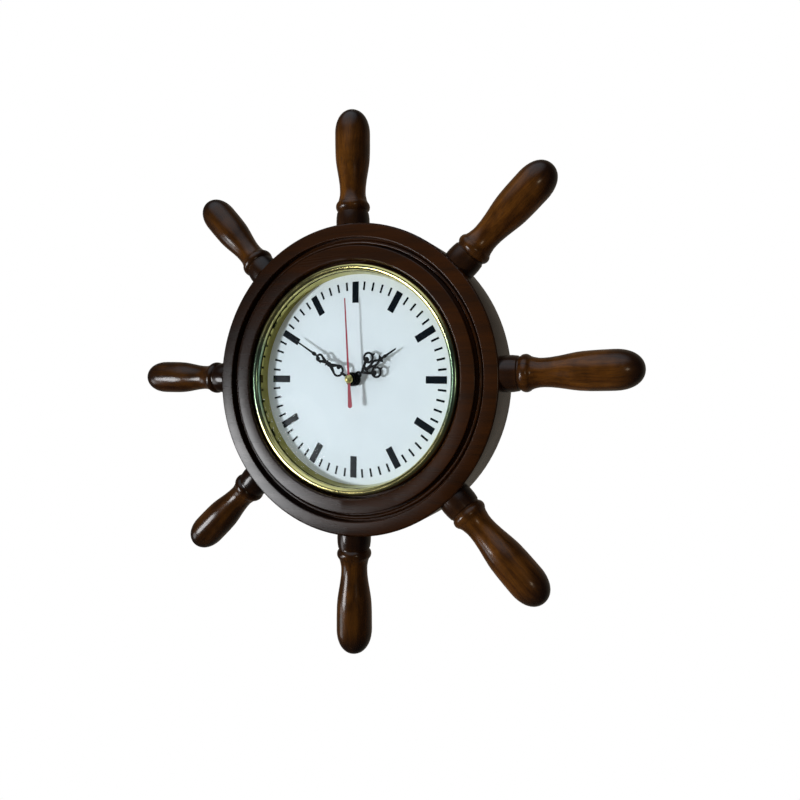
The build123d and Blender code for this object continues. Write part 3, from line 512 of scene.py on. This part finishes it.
def varnished_handle_wood(finish):
    """Turned hardwood under brown stain and gloss varnish: orange-brown streaks along each
    handle, darker tips where the end grain drank the stain, sharp long highlights."""
    wood = start(bpy.data.materials, "varnished_turned_hardwood")
    place = add_node(wood, "ShaderNodeTexCoord")
    own, handle, reach = handle_axes(wood, place)
    # Streaks about 4 mm wide, drawn out eleven times along the handle, another set for each.
    along = add_node(wood, "ShaderNodeMapping", {"Vector": own, "Scale": (1.0, 1.0, 0.09)})
    streaks = add_node(
        wood,
        "ShaderNodeTexNoise",
        {
            "Vector": along.outputs["Vector"],
            "W": handle,
            "Scale": per_mm(4.0),
            "Detail": 4.0,
            "Distortion": 0.4,
        },
        noise_dimensions="4D",
    )
    # Pores 0.3 mm wide in the wood; drawn 0.7 mm wide so that they show.
    pores = add_node(
        wood,
        "ShaderNodeTexNoise",
        {
            "Vector": along.outputs["Vector"],
            "W": handle,
            "Scale": per_mm(0.7),
            "Detail": 2.0,
        },
        noise_dimensions="4D",
    )
    grain = add_node(
        wood,
        "ShaderNodeValToRGB",
        {"Fac": streaks.outputs["Fac"]},
        stops=((0.28, finish.handle_dark[:]), (0.74, finish.handle_light[:])),
    )
    pore_shade = add_node(
        wood,
        "ShaderNodeValToRGB",
        {"Fac": pores.outputs["Fac"]},
        stops=((0.36, grey(0.7)), (0.5, grey(1.0))),
    )
    pored = add_node(
        wood,
        "ShaderNodeMix",
        {FACTOR: 1.0, FIRST: grain.outputs["Color"], SECOND: pore_shade.outputs["Color"]},
        data_type="RGBA",
        blend_type="MULTIPLY",
    )
    # Blotches some 11 mm long where the stain soaked in deeper.
    blotches = add_node(
        wood,
        "ShaderNodeTexNoise",
        {"Vector": own, "W": handle, "Scale": per_mm(11.0), "Detail": 3.0},
        noise_dimensions="4D",
    )
    blotch_shade = add_node(
        wood,
        "ShaderNodeValToRGB",
        {"Fac": blotches.outputs["Fac"]},
        stops=((0.36, grey(0.62)), (0.58, grey(1.0))),
    )
    blotched = add_node(
        wood,
        "ShaderNodeMix",
        {FACTOR: 1.0, FIRST: pored.outputs[MIXED], SECOND: blotch_shade.outputs["Color"]},
        data_type="RGBA",
        blend_type="MULTIPLY",
    )
    # Tips take soaked-in stain; feet take stain and painted shade.
    stained = add_node(
        wood,
        "ShaderNodeMix",
        {
            FACTOR: soaked_tips_shaded_feet(wood, reach),
            FIRST: blotched.outputs[MIXED],
            SECOND: finish.handle_soak_and_shade[:],
        },
        data_type="RGBA",
    )
    sheen = add_node(
        wood,
        "ShaderNodeMapRange",
        {
            "Value": pores.outputs["Fac"],
            "From Min": NOISE_LOW,
            "From Max": NOISE_HIGH,
            "To Min": finish.handle_sheen + 0.08,
            "To Max": finish.handle_sheen - 0.04,
        },
    )
    relief = add_node(
        wood,
        "ShaderNodeBump",
        {"Height": pore_shade.outputs["Color"], "Strength": 0.2, "Distance": PORE_DEPTH},
    )
    shader = add_node(
        wood,
        "ShaderNodeBsdfPrincipled",
        {
            "Base Color": lower_left_darkening(wood, place, stained.outputs[MIXED], deepest=0.5),
            "Roughness": sheen.outputs["Result"],
            "Normal": relief.outputs["Normal"],
            "IOR": 1.5,
            "Specular IOR Level": 0.22,
            "Coat Weight": 0.15,
            "Coat Roughness": 0.1,
        },
    )
    add_node(wood, "ShaderNodeOutputMaterial", {"Surface": shader.outputs["BSDF"]})
    return wood


def turned_metal(name, tint, rough, line_width, line_strength, green_side_reflection=None):
    """Metal turned on a lathe: rings round the clock's axis catch the light as fine lines, and
    handling leaves faint dull patches. A green painted reflection can be laid on the sides of the
    clock."""
    metal = start(bpy.data.materials, name)
    place = add_node(metal, "ShaderNodeTexCoord")
    flat = add_node(
        metal,
        "ShaderNodeMapping",
        {"Vector": place.outputs["Object"], "Scale": (1.0, 0.0, 1.0)},
    )
    radius = add_node(
        metal, "ShaderNodeVectorMath", {0: flat.outputs["Vector"]}, operation="LENGTH"
    )
    # Lathe lines lie about 0.1 mm apart; they are drawn wider so that they show.
    rings = add_node(
        metal,
        "ShaderNodeTexNoise",
        {"W": radius.outputs["Value"], "Scale": per_mm(line_width), "Detail": 2.0},
        noise_dimensions="1D",
    )
    # Dull patches about 12 mm across.
    patches = add_node(
        metal,
        "ShaderNodeTexNoise",
        {"Vector": place.outputs["Object"], "Scale": per_mm(12.0), "Detail": 3.0},
    )
    shade = add_node(
        metal,
        "ShaderNodeValToRGB",
        {"Fac": patches.outputs["Fac"]},
        stops=((0.3, darker(tint, 0.82)), (0.6, tint[:])),
    ).outputs["Color"]
    # Painted reflection: green painted into the colour at the left and right sides.
    if green_side_reflection:
        split = add_node(metal, "ShaderNodeSeparateXYZ", {"Vector": place.outputs["Object"]})
        sideways = add_node(
            metal,
            "ShaderNodeMath",
            {0: split.outputs["X"], 1: radius.outputs["Value"]},
            operation="DIVIDE",
        )
        share = add_node(metal, "ShaderNodeMath", {0: sideways.outputs[0]}, operation="ABSOLUTE")
        reflecting_side = add_node(
            metal,
            "ShaderNodeMapRange",
            {"Value": share.outputs[0], "From Min": 0.86, "From Max": 1.0},
            interpolation_type="SMOOTHSTEP",
        )
        shade = add_node(
            metal,
            "ShaderNodeMix",
            {FACTOR: reflecting_side.outputs["Result"], FIRST: shade, SECOND: green_side_reflection[:]},
            data_type="RGBA",
        ).outputs[MIXED]
    dull = add_node(
        metal,
        "ShaderNodeMapRange",
        {
            "Value": patches.outputs["Fac"],
            "From Min": NOISE_LOW,
            "From Max": NOISE_HIGH,
            "To Min": rough * 1.4,
            "To Max": rough * 0.8,
        },
    )
    relief = add_node(
        metal,
        "ShaderNodeBump",
        {
            "Height": rings.outputs["Fac"],
            "Strength": line_strength,
            "Distance": LATHE_LINE_DEPTH,
        },
    )
    shader = add_node(
        metal,
        "ShaderNodeBsdfPrincipled",
        {
            "Base Color": shade,
            "Metallic": 1.0,
            "Roughness": dull.outputs["Result"],
            "Normal": relief.outputs["Normal"],
        },
    )
    add_node(metal, "ShaderNodeOutputMaterial", {"Surface": shader.outputs["BSDF"]})
    return metal


def drawn_metal(name, tint, rough, mark_width):
    """Rolled, drawn or plated metal: short straight rolling marks and a slightly cloudy shine."""
    metal = start(bpy.data.materials, name)
    place = add_node(metal, "ShaderNodeTexCoord")
    along = add_node(
        metal,
        "ShaderNodeMapping",
        {"Vector": place.outputs["Object"], "Scale": (0.06, 1.0, 1.0)},
    )
    # Rolling marks are under 0.1 mm wide; they are drawn wider so that they show.
    marks = add_node(
        metal,
        "ShaderNodeTexNoise",
        {"Vector": along.outputs["Vector"], "Scale": per_mm(mark_width), "Detail": 3.0},
    )
    # Clouds about 5 mm across.
    clouds = add_node(
        metal,
        "ShaderNodeTexNoise",
        {"Vector": place.outputs["Object"], "Scale": per_mm(5.0), "Detail": 2.0},
    )
    shade = add_node(
        metal,
        "ShaderNodeValToRGB",
        {"Fac": clouds.outputs["Fac"]},
        stops=((0.3, darker(tint, 0.78)), (0.65, tint[:])),
    )
    dull = add_node(
        metal,
        "ShaderNodeMapRange",
        {
            "Value": marks.outputs["Fac"],
            "From Min": NOISE_LOW,
            "From Max": NOISE_HIGH,
            "To Min": rough * 0.75,
            "To Max": rough * 1.3,
        },
    )
    relief = add_node(
        metal,
        "ShaderNodeBump",
        {"Height": marks.outputs["Fac"], "Strength": 0.15, "Distance": ROLLING_MARK_DEPTH},
    )
    shader = add_node(
        metal,
        "ShaderNodeBsdfPrincipled",
        {
            "Base Color": shade.outputs["Color"],
            "Metallic": 1.0,
            "Roughness": dull.outputs["Result"],
            "Normal": relief.outputs["Normal"],
        },
    )
    add_node(metal, "ShaderNodeOutputMaterial", {"Surface": shader.outputs["BSDF"]})
    return metal


def coated_surface(name, tint, tint_spread, rough, grain_width, grain_strength, **extra):
    """Paint, print, enamel, moulded plastic or rubber: one colour that wanders a little, and the
    fine skin that spraying, printing or the mould leaves."""
    skin = start(bpy.data.materials, name)
    place = add_node(skin, "ShaderNodeTexCoord")
    grain = add_node(
        skin,
        "ShaderNodeTexNoise",
        {"Vector": place.outputs["Object"], "Scale": per_mm(grain_width), "Detail": 3.0},
    )
    # Colour wanders over some 14 mm.
    drift = add_node(
        skin,
        "ShaderNodeTexNoise",
        {"Vector": place.outputs["Object"], "Scale": per_mm(14.0), "Detail": 2.0},
    )
    shade = add_node(
        skin,
        "ShaderNodeValToRGB",
        {"Fac": drift.outputs["Fac"]},
        stops=((0.3, darker(tint, 1.0 - tint_spread)), (0.7, tint[:])),
    )
    dull = add_node(
        skin,
        "ShaderNodeMapRange",
        {
            "Value": grain.outputs["Fac"],
            "From Min": NOISE_LOW,
            "From Max": NOISE_HIGH,
            "To Min": rough * 0.85,
            "To Max": rough * 1.15,
        },
    )
    relief = add_node(
        skin,
        "ShaderNodeBump",
        {"Height": grain.outputs["Fac"], "Strength": grain_strength, "Distance": SKIN_DEPTH},
    )
    shader = add_node(
        skin,
        "ShaderNodeBsdfPrincipled",
        {
            "Base Color": shade.outputs["Color"],
            "Roughness": dull.outputs["Result"],
            "Normal": relief.outputs["Normal"],
            **extra,
        },
    )
    add_node(skin, "ShaderNodeOutputMaterial", {"Surface": shader.outputs["BSDF"]})
    return skin


def clear_glass():
    """Domed mineral clock glass: clear, with the room mirrored faintly on it. Lamps shine
    straight through, as they do through a thin pane."""
    glass = start(bpy.data.materials, "mineral_clock_glass")
    place = add_node(glass, "ShaderNodeTexCoord")
    # Wipe marks about 20 mm wide, only a little duller than the rest.
    wipes = add_node(
        glass,
        "ShaderNodeTexNoise",
        {"Vector": place.outputs["Object"], "Scale": per_mm(20.0), "Detail": 2.0},
    )
    dull = add_node(
        glass,
        "ShaderNodeMapRange",
        {"Value": wipes.outputs["Fac"], "From Min": 0.4, "From Max": 0.7, "To Max": 0.03},
    )
    # Glass has an IOR of 1.52; it is lowered to mirror the window as faintly as the photograph.
    shader = add_node(
        glass,
        "ShaderNodeBsdfPrincipled",
        {
            "Base Color": linear("#F7FBFA"),
            "Roughness": dull.outputs["Result"],
            "IOR": 1.06,
            "Transmission Weight": 1.0,
        },
    )
    open_air = add_node(glass, "ShaderNodeBsdfTransparent")
    ray = add_node(glass, "ShaderNodeLightPath")
    mixed = add_node(
        glass,
        "ShaderNodeMixShader",
        {0: ray.outputs["Is Shadow Ray"], 1: shader.outputs["BSDF"], 2: open_air.outputs["BSDF"]},
    )
    add_node(glass, "ShaderNodeOutputMaterial", {"Surface": mixed.outputs["Shader"]})
    return glass


def wound_copper(tint):
    """Fine enamelled copper wire in level layers: shiny red-brown ridges across the coil."""
    wire = start(bpy.data.materials, "enamelled_copper_winding")
    place = add_node(wire, "ShaderNodeTexCoord")
    # Wire of 0.1 mm; drawn 0.4 mm so that the turns show.
    turns = add_node(
        wire,
        "ShaderNodeTexWave",
        {
            "Vector": place.outputs["Object"],
            "Scale": per_mm(0.4) * WAVE_PERIOD,
            "Distortion": 0.3,
        },
        bands_direction="Z",
    )
    # Painted shade: the grooves between the turns are darkened in the colour.
    shade = add_node(
        wire,
        "ShaderNodeValToRGB",
        {"Fac": turns.outputs["Fac"]},
        stops=((0.0, darker(tint, 0.45)), (0.6, tint[:])),
    )
    relief = add_node(
        wire,
        "ShaderNodeBump",
        {"Height": turns.outputs["Fac"], "Strength": 0.6, "Distance": WIRE_DEPTH},
    )
    shader = add_node(
        wire,
        "ShaderNodeBsdfPrincipled",
        {
            "Base Color": shade.outputs["Color"],
            "Metallic": 1.0,
            "Roughness": 0.28,
            "Normal": relief.outputs["Normal"],
            "Coat Weight": 0.6,
        },
    )
    add_node(wire, "ShaderNodeOutputMaterial", {"Surface": shader.outputs["BSDF"]})
    return wire


def jacketed_cell(finish):
    """Dry cell in a plain shrunk-on sleeve: satin blue-grey with bare drawn steel at both ends."""
    low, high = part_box("battery")
    cell = start(bpy.data.materials, "sleeved_steel_cell")
    place = add_node(cell, "ShaderNodeTexCoord")
    split = add_node(cell, "ShaderNodeSeparateXYZ", {"Vector": place.outputs["Object"]})
    middle = (low.x + high.x) / 2
    from_middle = add_node(
        cell, "ShaderNodeMath", {0: split.outputs["X"], 1: middle}, operation="SUBTRACT"
    )
    reach = add_node(cell, "ShaderNodeMath", {0: from_middle.outputs[0]}, operation="ABSOLUTE")
    bare = add_node(
        cell,
        "ShaderNodeMath",
        {0: reach.outputs[0], 1: (high.x - low.x) / 2 - SLEEVE_MARGIN},
        operation="GREATER_THAN",
    )
    # Scuffs about 3 mm wide.
    scuffs = add_node(
        cell,
        "ShaderNodeTexNoise",
        {"Vector": place.outputs["Object"], "Scale": per_mm(3.0), "Detail": 4.0},
    )
    sleeve = add_node(
        cell,
        "ShaderNodeValToRGB",
        {"Fac": scuffs.outputs["Fac"]},
        stops=((0.3, darker(finish.cell, 0.75)), (0.65, finish.cell[:])),
    )
    shade = add_node(
        cell,
        "ShaderNodeMix",
        {FACTOR: bare.outputs[0], FIRST: sleeve.outputs["Color"], SECOND: linear("#C6C4BF")},
        data_type="RGBA",
    )
    dull = add_node(
        cell,
        "ShaderNodeMapRange",
        {
            "Value": scuffs.outputs["Fac"],
            "From Min": NOISE_LOW,
            "From Max": NOISE_HIGH,
            "To Min": 0.25,
            "To Max": 0.4,
        },
    )
    shader = add_node(
        cell,
        "ShaderNodeBsdfPrincipled",
        {
            "Base Color": shade.outputs[MIXED],
            "Metallic": bare.outputs[0],
            "Roughness": dull.outputs["Result"],
        },
    )
    add_node(cell, "ShaderNodeOutputMaterial", {"Surface": shader.outputs["BSDF"]})
    return cell


def lay_floor(context, stage):
    """The plain pale floor under the clock."""
    bpy.ops.object.select_all(action="DESELECT")
    bpy.ops.mesh.primitive_plane_add(
        size=FLOOR_SIZE, location=(0.0, FLOOR_MIDDLE_Y, -stage.floor_depth)
    )
    floor = context.object
    floor.name = "studio_floor"
    # Emulsion on board: pale and quite matt.
    matt = start(bpy.data.materials, "matt_studio_floor")
    shader = add_node(
        matt, "ShaderNodeBsdfPrincipled", {"Base Color": stage.floor[:], "Roughness": 0.9}
    )
    add_node(matt, "ShaderNodeOutputMaterial", {"Surface": shader.outputs["BSDF"]})
    floor.data.materials.append(matt)
    # The handles in the photograph mirror no floor.
    floor.visible_glossy = False


def hang_lamps(context, stage):
    """Round lamps that face the clock."""
    # Place and width in metres, power, colour, whether the lamp lights what it shines on, and
    # whether varnish and metal mirror it. None is seen through the glass.
    lamps = (
        ("key_lamp", (-1.12, -1.38, -0.28), 0.2, stage.key_power, stage.window, True, False),
        ("sheen_lamp", (-0.81, -0.84, -0.26), 0.42, stage.sheen_power, stage.sheen, False, True),
        ("side_lamp", (0.62, -0.72, 0.02), 0.15, stage.side_power, stage.wall, True, True),
        ("back_lamp", (0.1, 1.15, 0.15), 0.4, stage.back_power, stage.wall, True, False),
    )
    for name, place, width, power, tint, lights, mirrored in lamps:
        aim = Vector(place).to_track_quat("Z", "Y").to_euler()
        bpy.ops.object.light_add(type="AREA", location=place, rotation=aim)
        lamp = context.object
        lamp.name = name
        lamp.data.shape = "DISK"
        lamp.data.size = width
        lamp.data.energy = power
        lamp.data.color = tint[:3]
        lamp.visible_diffuse = lights
        lamp.visible_glossy = mirrored
        lamp.visible_transmission = False


def pale_room(stage):
    """The room round the clock: dim all over, with soft glows, and white to the camera itself."""
    world = start(bpy.data.worlds, "pale_room")
    facing = add_node(world, "ShaderNodeTexCoord")
    light = add_node(
        world,
        "ShaderNodeBackground",
        {"Color": stage.room[:], "Strength": stage.room_level},
    )
    # Bearing and height of each glow, how far from there it is full and where it ends, all in
    # degrees, then its strength and colour.
    glows = (
        (-66.0, -22.0, 4.0, 13.0, stage.window_level, stage.sheen),
        (-10.0, 60.0, 10.0, 45.0, stage.ceiling_level, stage.room),
        (180.0, 0.0, 30.0, 85.0, stage.wall_level, stage.wall),
    )
    for bearing, height, core, edge, level, tint in glows:
        turn, rise = math.radians(bearing), math.radians(height)
        ahead = (
            math.sin(turn) * math.cos(rise),
            -math.cos(turn) * math.cos(rise),
            math.sin(rise),
        )
        near = add_node(
            world,
            "ShaderNodeVectorMath",
            {0: facing.outputs["Generated"], 1: ahead},
            operation="DOT_PRODUCT",
        )
        fade = add_node(
            world,
            "ShaderNodeMapRange",
            {
                "Value": near.outputs["Value"],
                "From Min": math.cos(math.radians(edge)),
                "From Max": math.cos(math.radians(core)),
                "To Max": level,
            },
            interpolation_type="SMOOTHSTEP",
        )
        glow = add_node(
            world,
            "ShaderNodeBackground",
            {"Color": tint[:], "Strength": fade.outputs["Result"]},
        )
        light = add_node(world, "ShaderNodeAddShader", {0: light.outputs[0], 1: glow.outputs[0]})
    ray = add_node(world, "ShaderNodeLightPath")
    paper = add_node(world, "ShaderNodeBackground", {"Color": grey(1.0)})
    seen = add_node(
        world,
        "ShaderNodeMixShader",
        {0: ray.outputs["Is Camera Ray"], 1: light.outputs[0], 2: paper.outputs[0]},
    )
    add_node(world, "ShaderNodeOutputWorld", {"Surface": seen.outputs[0]})
    return world


def photograph_camera(context, stage):
    """The camera where the photograph was taken from."""
    yaw, pitch, roll = stage.camera_yaw, stage.camera_pitch, stage.camera_roll
    back = Vector(
        (math.sin(yaw) * math.cos(pitch), -math.cos(yaw) * math.cos(pitch), math.sin(pitch))
    )
    level = Vector((math.cos(yaw), math.sin(yaw), 0.0))
    upright = back.cross(level)
    right = level * math.cos(roll) + upright * math.sin(roll)
    up = back.cross(right)
    bpy.ops.object.camera_add()
    camera = context.object
    camera.name = "photograph_camera"
    camera.matrix_world = (
        Matrix.Translation(stage.camera_place) @ Matrix((right, up, back)).transposed().to_4x4()
    )
    camera.data.sensor_width = SENSOR_WIDTH_MM
    camera.data.lens = stage.lens
    camera.data.shift_x, camera.data.shift_y = FRAME_SHIFT
    camera.data.clip_start = NEAR_CLIP
    return camera


class CLOCK_OT_wheel(bpy.types.Operator):
    """Stains and varnishes the rim and the handles."""

    bl_idname = "clock.wheel"
    bl_label = "Wheel wood"

    def execute(self, context):
        finish = context.scene.clock_wheel
        dress(stained_walnut(finish), "wheel_rim")
        dress(varnished_handle_wood(finish), "handles")
        return {"FINISHED"}


class CLOCK_OT_dial(bpy.types.Operator):
    """Enamels the dial and prints its marks."""

    bl_idname = "clock.dial"
    bl_label = "Dial and marks"

    def execute(self, context):
        finish = context.scene.clock_dial
        # Baked enamel on sheet metal: hard satin white with a trace of orange peel.
        white = coated_surface(
            "baked_white_enamel",
            finish.enamel,
            tint_spread=0.03,
            rough=0.5,
            grain_width=1.6,
            grain_strength=0.06,
            **{"Specular IOR Level": 0.1},
        )
        dress(white, "dial")
        # Screen-printed ink: black and glossy, greyed where it mirrors the window.
        ink = coated_surface(
            "screen_printed_gloss_ink",
            finish.print_black,
            tint_spread=0.25,
            rough=0.18,
            grain_width=0.6,
            grain_strength=0.01,
            **{"Specular IOR Level": 0.8},
        )
        dress(ink, "hour_marks", "minute_marks")
        return {"FINISHED"}


class CLOCK_OT_bezel(bpy.types.Operator):
    """Polishes the bezel and the spacer and clears the glass."""

    bl_idname = "clock.bezel"
    bl_label = "Bezel and glass"

    def execute(self, context):
        metal = context.scene.clock_metal
        # Lacquered brass, polished: pale yellow, bright bands, and a green painted reflection at
        # the left and right sides.
        brass = turned_metal(
            "polished_lacquered_brass",
            metal.brass,
            rough=0.18,
            line_width=0.6,
            line_strength=0.12,
            green_side_reflection=metal.green_side_reflection,
        )
        dress(brass, "bezel")
        # Gilt ring: deeper yellow and nearly a mirror, so that it shows the dial's marks.
        gilt = turned_metal(
            "gilt_spacer_metal", metal.spacer, rough=0.1, line_width=0.6, line_strength=0.05
        )
        dress(gilt, "spacer_ring")
        dress(clear_glass(), "glass")
        return {"FINISHED"}


class CLOCK_OT_hands(bpy.types.Operator):
    """Paints the three hands and polishes the cap."""

    bl_idname = "clock.hands"
    bl_label = "Hands"

    def execute(self, context):
        finish = context.scene.clock_dial
        metal = context.scene.clock_metal
        # Stoved paint on stamped sheet: smooth satin black, softly rounded shine.
        black = coated_surface(
            "stoved_black_paint",
            finish.hand_black,
            tint_spread=0.3,
            rough=0.45,
            grain_width=0.8,
            grain_strength=0.1,
            **{"Specular IOR Level": 0.15},
        )
        dress(black, "hour_hand", "minute_hand")
        # The same paint in dark red, a little glossier.
        red = coated_surface(
            "stoved_red_paint",
            finish.hand_red,
            tint_spread=0.15,
            rough=0.38,
            grain_width=0.8,
            grain_strength=0.08,
        )
        dress(red, "second_hand")
        # Brass rounded off on the lathe: yellow with one soft highlight.
        cap = turned_metal(
            "polished_brass_cap", metal.brass, rough=0.3, line_width=0.4, line_strength=0.1
        )
        dress(cap, "second_hand_cap")
        return {"FINISHED"}


class CLOCK_OT_movement(bpy.types.Operator):
    """Finishes the quartz movement, its train and its motor."""

    bl_idname = "clock.movement"
    bl_label = "Movement"

    def execute(self, context):
        finish = context.scene.clock_movement
        metal = context.scene.clock_metal
        # Moulded ABS from a spark-eroded tool: dull black with an even fine grain,
        # 0.2 mm in the mould and drawn 0.5 mm so that it shows.
        case = coated_surface(
            "grained_black_abs",
            finish.case_black,
            tint_spread=0.2,
            rough=0.5,
            grain_width=0.5,
            grain_strength=0.5,
        )
        dress(case, "movement_case", "movement_cover", "coil_bobbin", "setting_knob")
        # Acetal gears: milky, waxy and smooth.
        acetal = coated_surface(
            "natural_acetal",
            finish.gear,
            tint_spread=0.05,
            rough=0.35,
            grain_width=0.6,
            grain_strength=0.08,
            **{"Subsurface Weight": 0.15, "Subsurface Radius": (0.002, 0.0016, 0.001)},
        )
        dress(acetal, "hour_wheel", "minute_wheel", "third_wheel", "fifth_wheel")
        dress(acetal, "motion_wheel", "train_bridge")
        # Turned brass: yellow, with the lathe's lines left on it.
        brass = turned_metal(
            "turned_brass_wheel", metal.brass, rough=0.25, line_width=0.3, line_strength=0.2
        )
        dress(brass, "second_wheel")
        # Sintered ferrite: dark grey, gritty.
        ferrite = coated_surface(
            "sintered_ferrite",
            linear("#3C3C3F"),
            tint_spread=0.3,
            rough=0.55,
            grain_width=0.3,
            grain_strength=0.4,
        )
        dress(ferrite, "rotor")
        # Nickel plate on rolled strip: bright and faintly warm.
        nickel = drawn_metal("nickel_plated_steel", metal.steel, rough=0.25, mark_width=0.3)
        dress(nickel, "positive_contact", "negative_contact", "quartz_crystal")
        # Annealed iron: grey and rather dull.
        iron = drawn_metal("annealed_iron_sheet", linear("#8C8C90"), rough=0.4, mark_width=0.3)
        dress(iron, "stator", "coil_core")
        dress(wound_copper(metal.copper), "coil_winding")
        # Paper and resin board: brown, slightly mottled, satin.
        board = coated_surface(
            "phenolic_paper_board",
            finish.board,
            tint_spread=0.3,
            rough=0.45,
            grain_width=0.7,
            grain_strength=0.15,
        )
        dress(board, "circuit_board")
        # Nitrile rubber: sooty black and quite matt.
        rubber = coated_surface(
            "nitrile_rubber",
            linear("#1B1B1B"),
            tint_spread=0.25,
            rough=0.8,
            grain_width=0.7,
            grain_strength=0.3,
        )
        dress(rubber, "rubber_washer")
        # Turned brass again, a little smoother.
        fitting = turned_metal(
            "turned_brass_fitting", metal.brass, rough=0.22, line_width=0.4, line_strength=0.15
        )
        dress(fitting, "threaded_bush")
        # Chemically blackened brass: dark and dull, the lathe lines still there.
        black = turned_metal(
            "blackened_brass", linear("#2A2A2C"), rough=0.4, line_width=0.4, line_strength=0.2
        )
        dress(black, "dial_washer", "fixing_nut")
        dress(jacketed_cell(finish), "battery")
        return {"FINISHED"}


class CLOCK_OT_hanger(bpy.types.Operator):
    """Plates the hanger and its screws."""

    bl_idname = "clock.hanger"
    bl_label = "Hanger"

    def execute(self, context):
        metal = context.scene.clock_metal
        # Bright zinc plate on rolled steel: pale grey and slightly cloudy.
        zinc = drawn_metal("zinc_plated_steel", metal.steel, rough=0.35, mark_width=0.5)
        dress(zinc, "hanger_plate", "hanger_screws")
        return {"FINISHED"}


class CLOCK_OT_stage(bpy.types.Operator):
    """Sets up the floor, the lamps, the room and the camera."""

    bl_idname = "clock.stage"
    bl_label = "Stage"

    def execute(self, context):
        stage = context.scene.clock_stage
        lay_floor(context, stage)
        hang_lamps(context, stage)
        context.scene.world = pale_room(stage)
        context.scene.view_settings.view_transform = "Standard"
        context.scene.camera = photograph_camera(context, stage)
        return {"FINISHED"}


class CLOCK_PT_panel(bpy.types.Panel):
    """Lists the clock's settings and the steps that finish it."""

    bl_idname = "CLOCK_PT_panel"
    bl_label = "Ship's wheel clock"
    bl_space_type = "VIEW_3D"
    bl_region_type = "UI"
    bl_category = "Clock"

    def draw(self, context):
        for group, kind, operators in GROUPS:
            box = self.layout.box()
            settings = getattr(context.scene, group)
            for name in kind.__annotations__:
                box.prop(settings, name)
            for operator in operators:
                box.operator(operator.bl_idname)


GROUPS = (
    ("clock_wheel", WheelFinish, (CLOCK_OT_wheel,)),
    ("clock_dial", DialFinish, (CLOCK_OT_dial, CLOCK_OT_hands)),
    ("clock_metal", MetalFinish, (CLOCK_OT_bezel, CLOCK_OT_hanger)),
    ("clock_movement", MovementFinish, (CLOCK_OT_movement,)),
    ("clock_stage", StageSettings, (CLOCK_OT_stage,)),
)


def register():
    """Adds the settings, the operators and the panel."""
    for group, kind, operators in GROUPS:
        bpy.utils.register_class(kind)
        setattr(bpy.types.Scene, group, PointerProperty(type=kind))
        for operator in operators:
            bpy.utils.register_class(operator)
    bpy.utils.register_class(CLOCK_PT_panel)


def unregister():
    """Takes them away again."""
    bpy.utils.unregister_class(CLOCK_PT_panel)
    for group, kind, operators in reversed(GROUPS):
        for operator in reversed(operators):
            bpy.utils.unregister_class(operator)
        delattr(bpy.types.Scene, group)
        bpy.utils.unregister_class(kind)


def main():
    """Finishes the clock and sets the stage."""
    register()
    bpy.ops.clock.wheel()
    bpy.ops.clock.dial()
    bpy.ops.clock.bezel()
    bpy.ops.clock.hands()
    bpy.ops.clock.movement()
    bpy.ops.clock.hanger()
    bpy.ops.clock.stage()


if __name__ == "__main__":
    main()
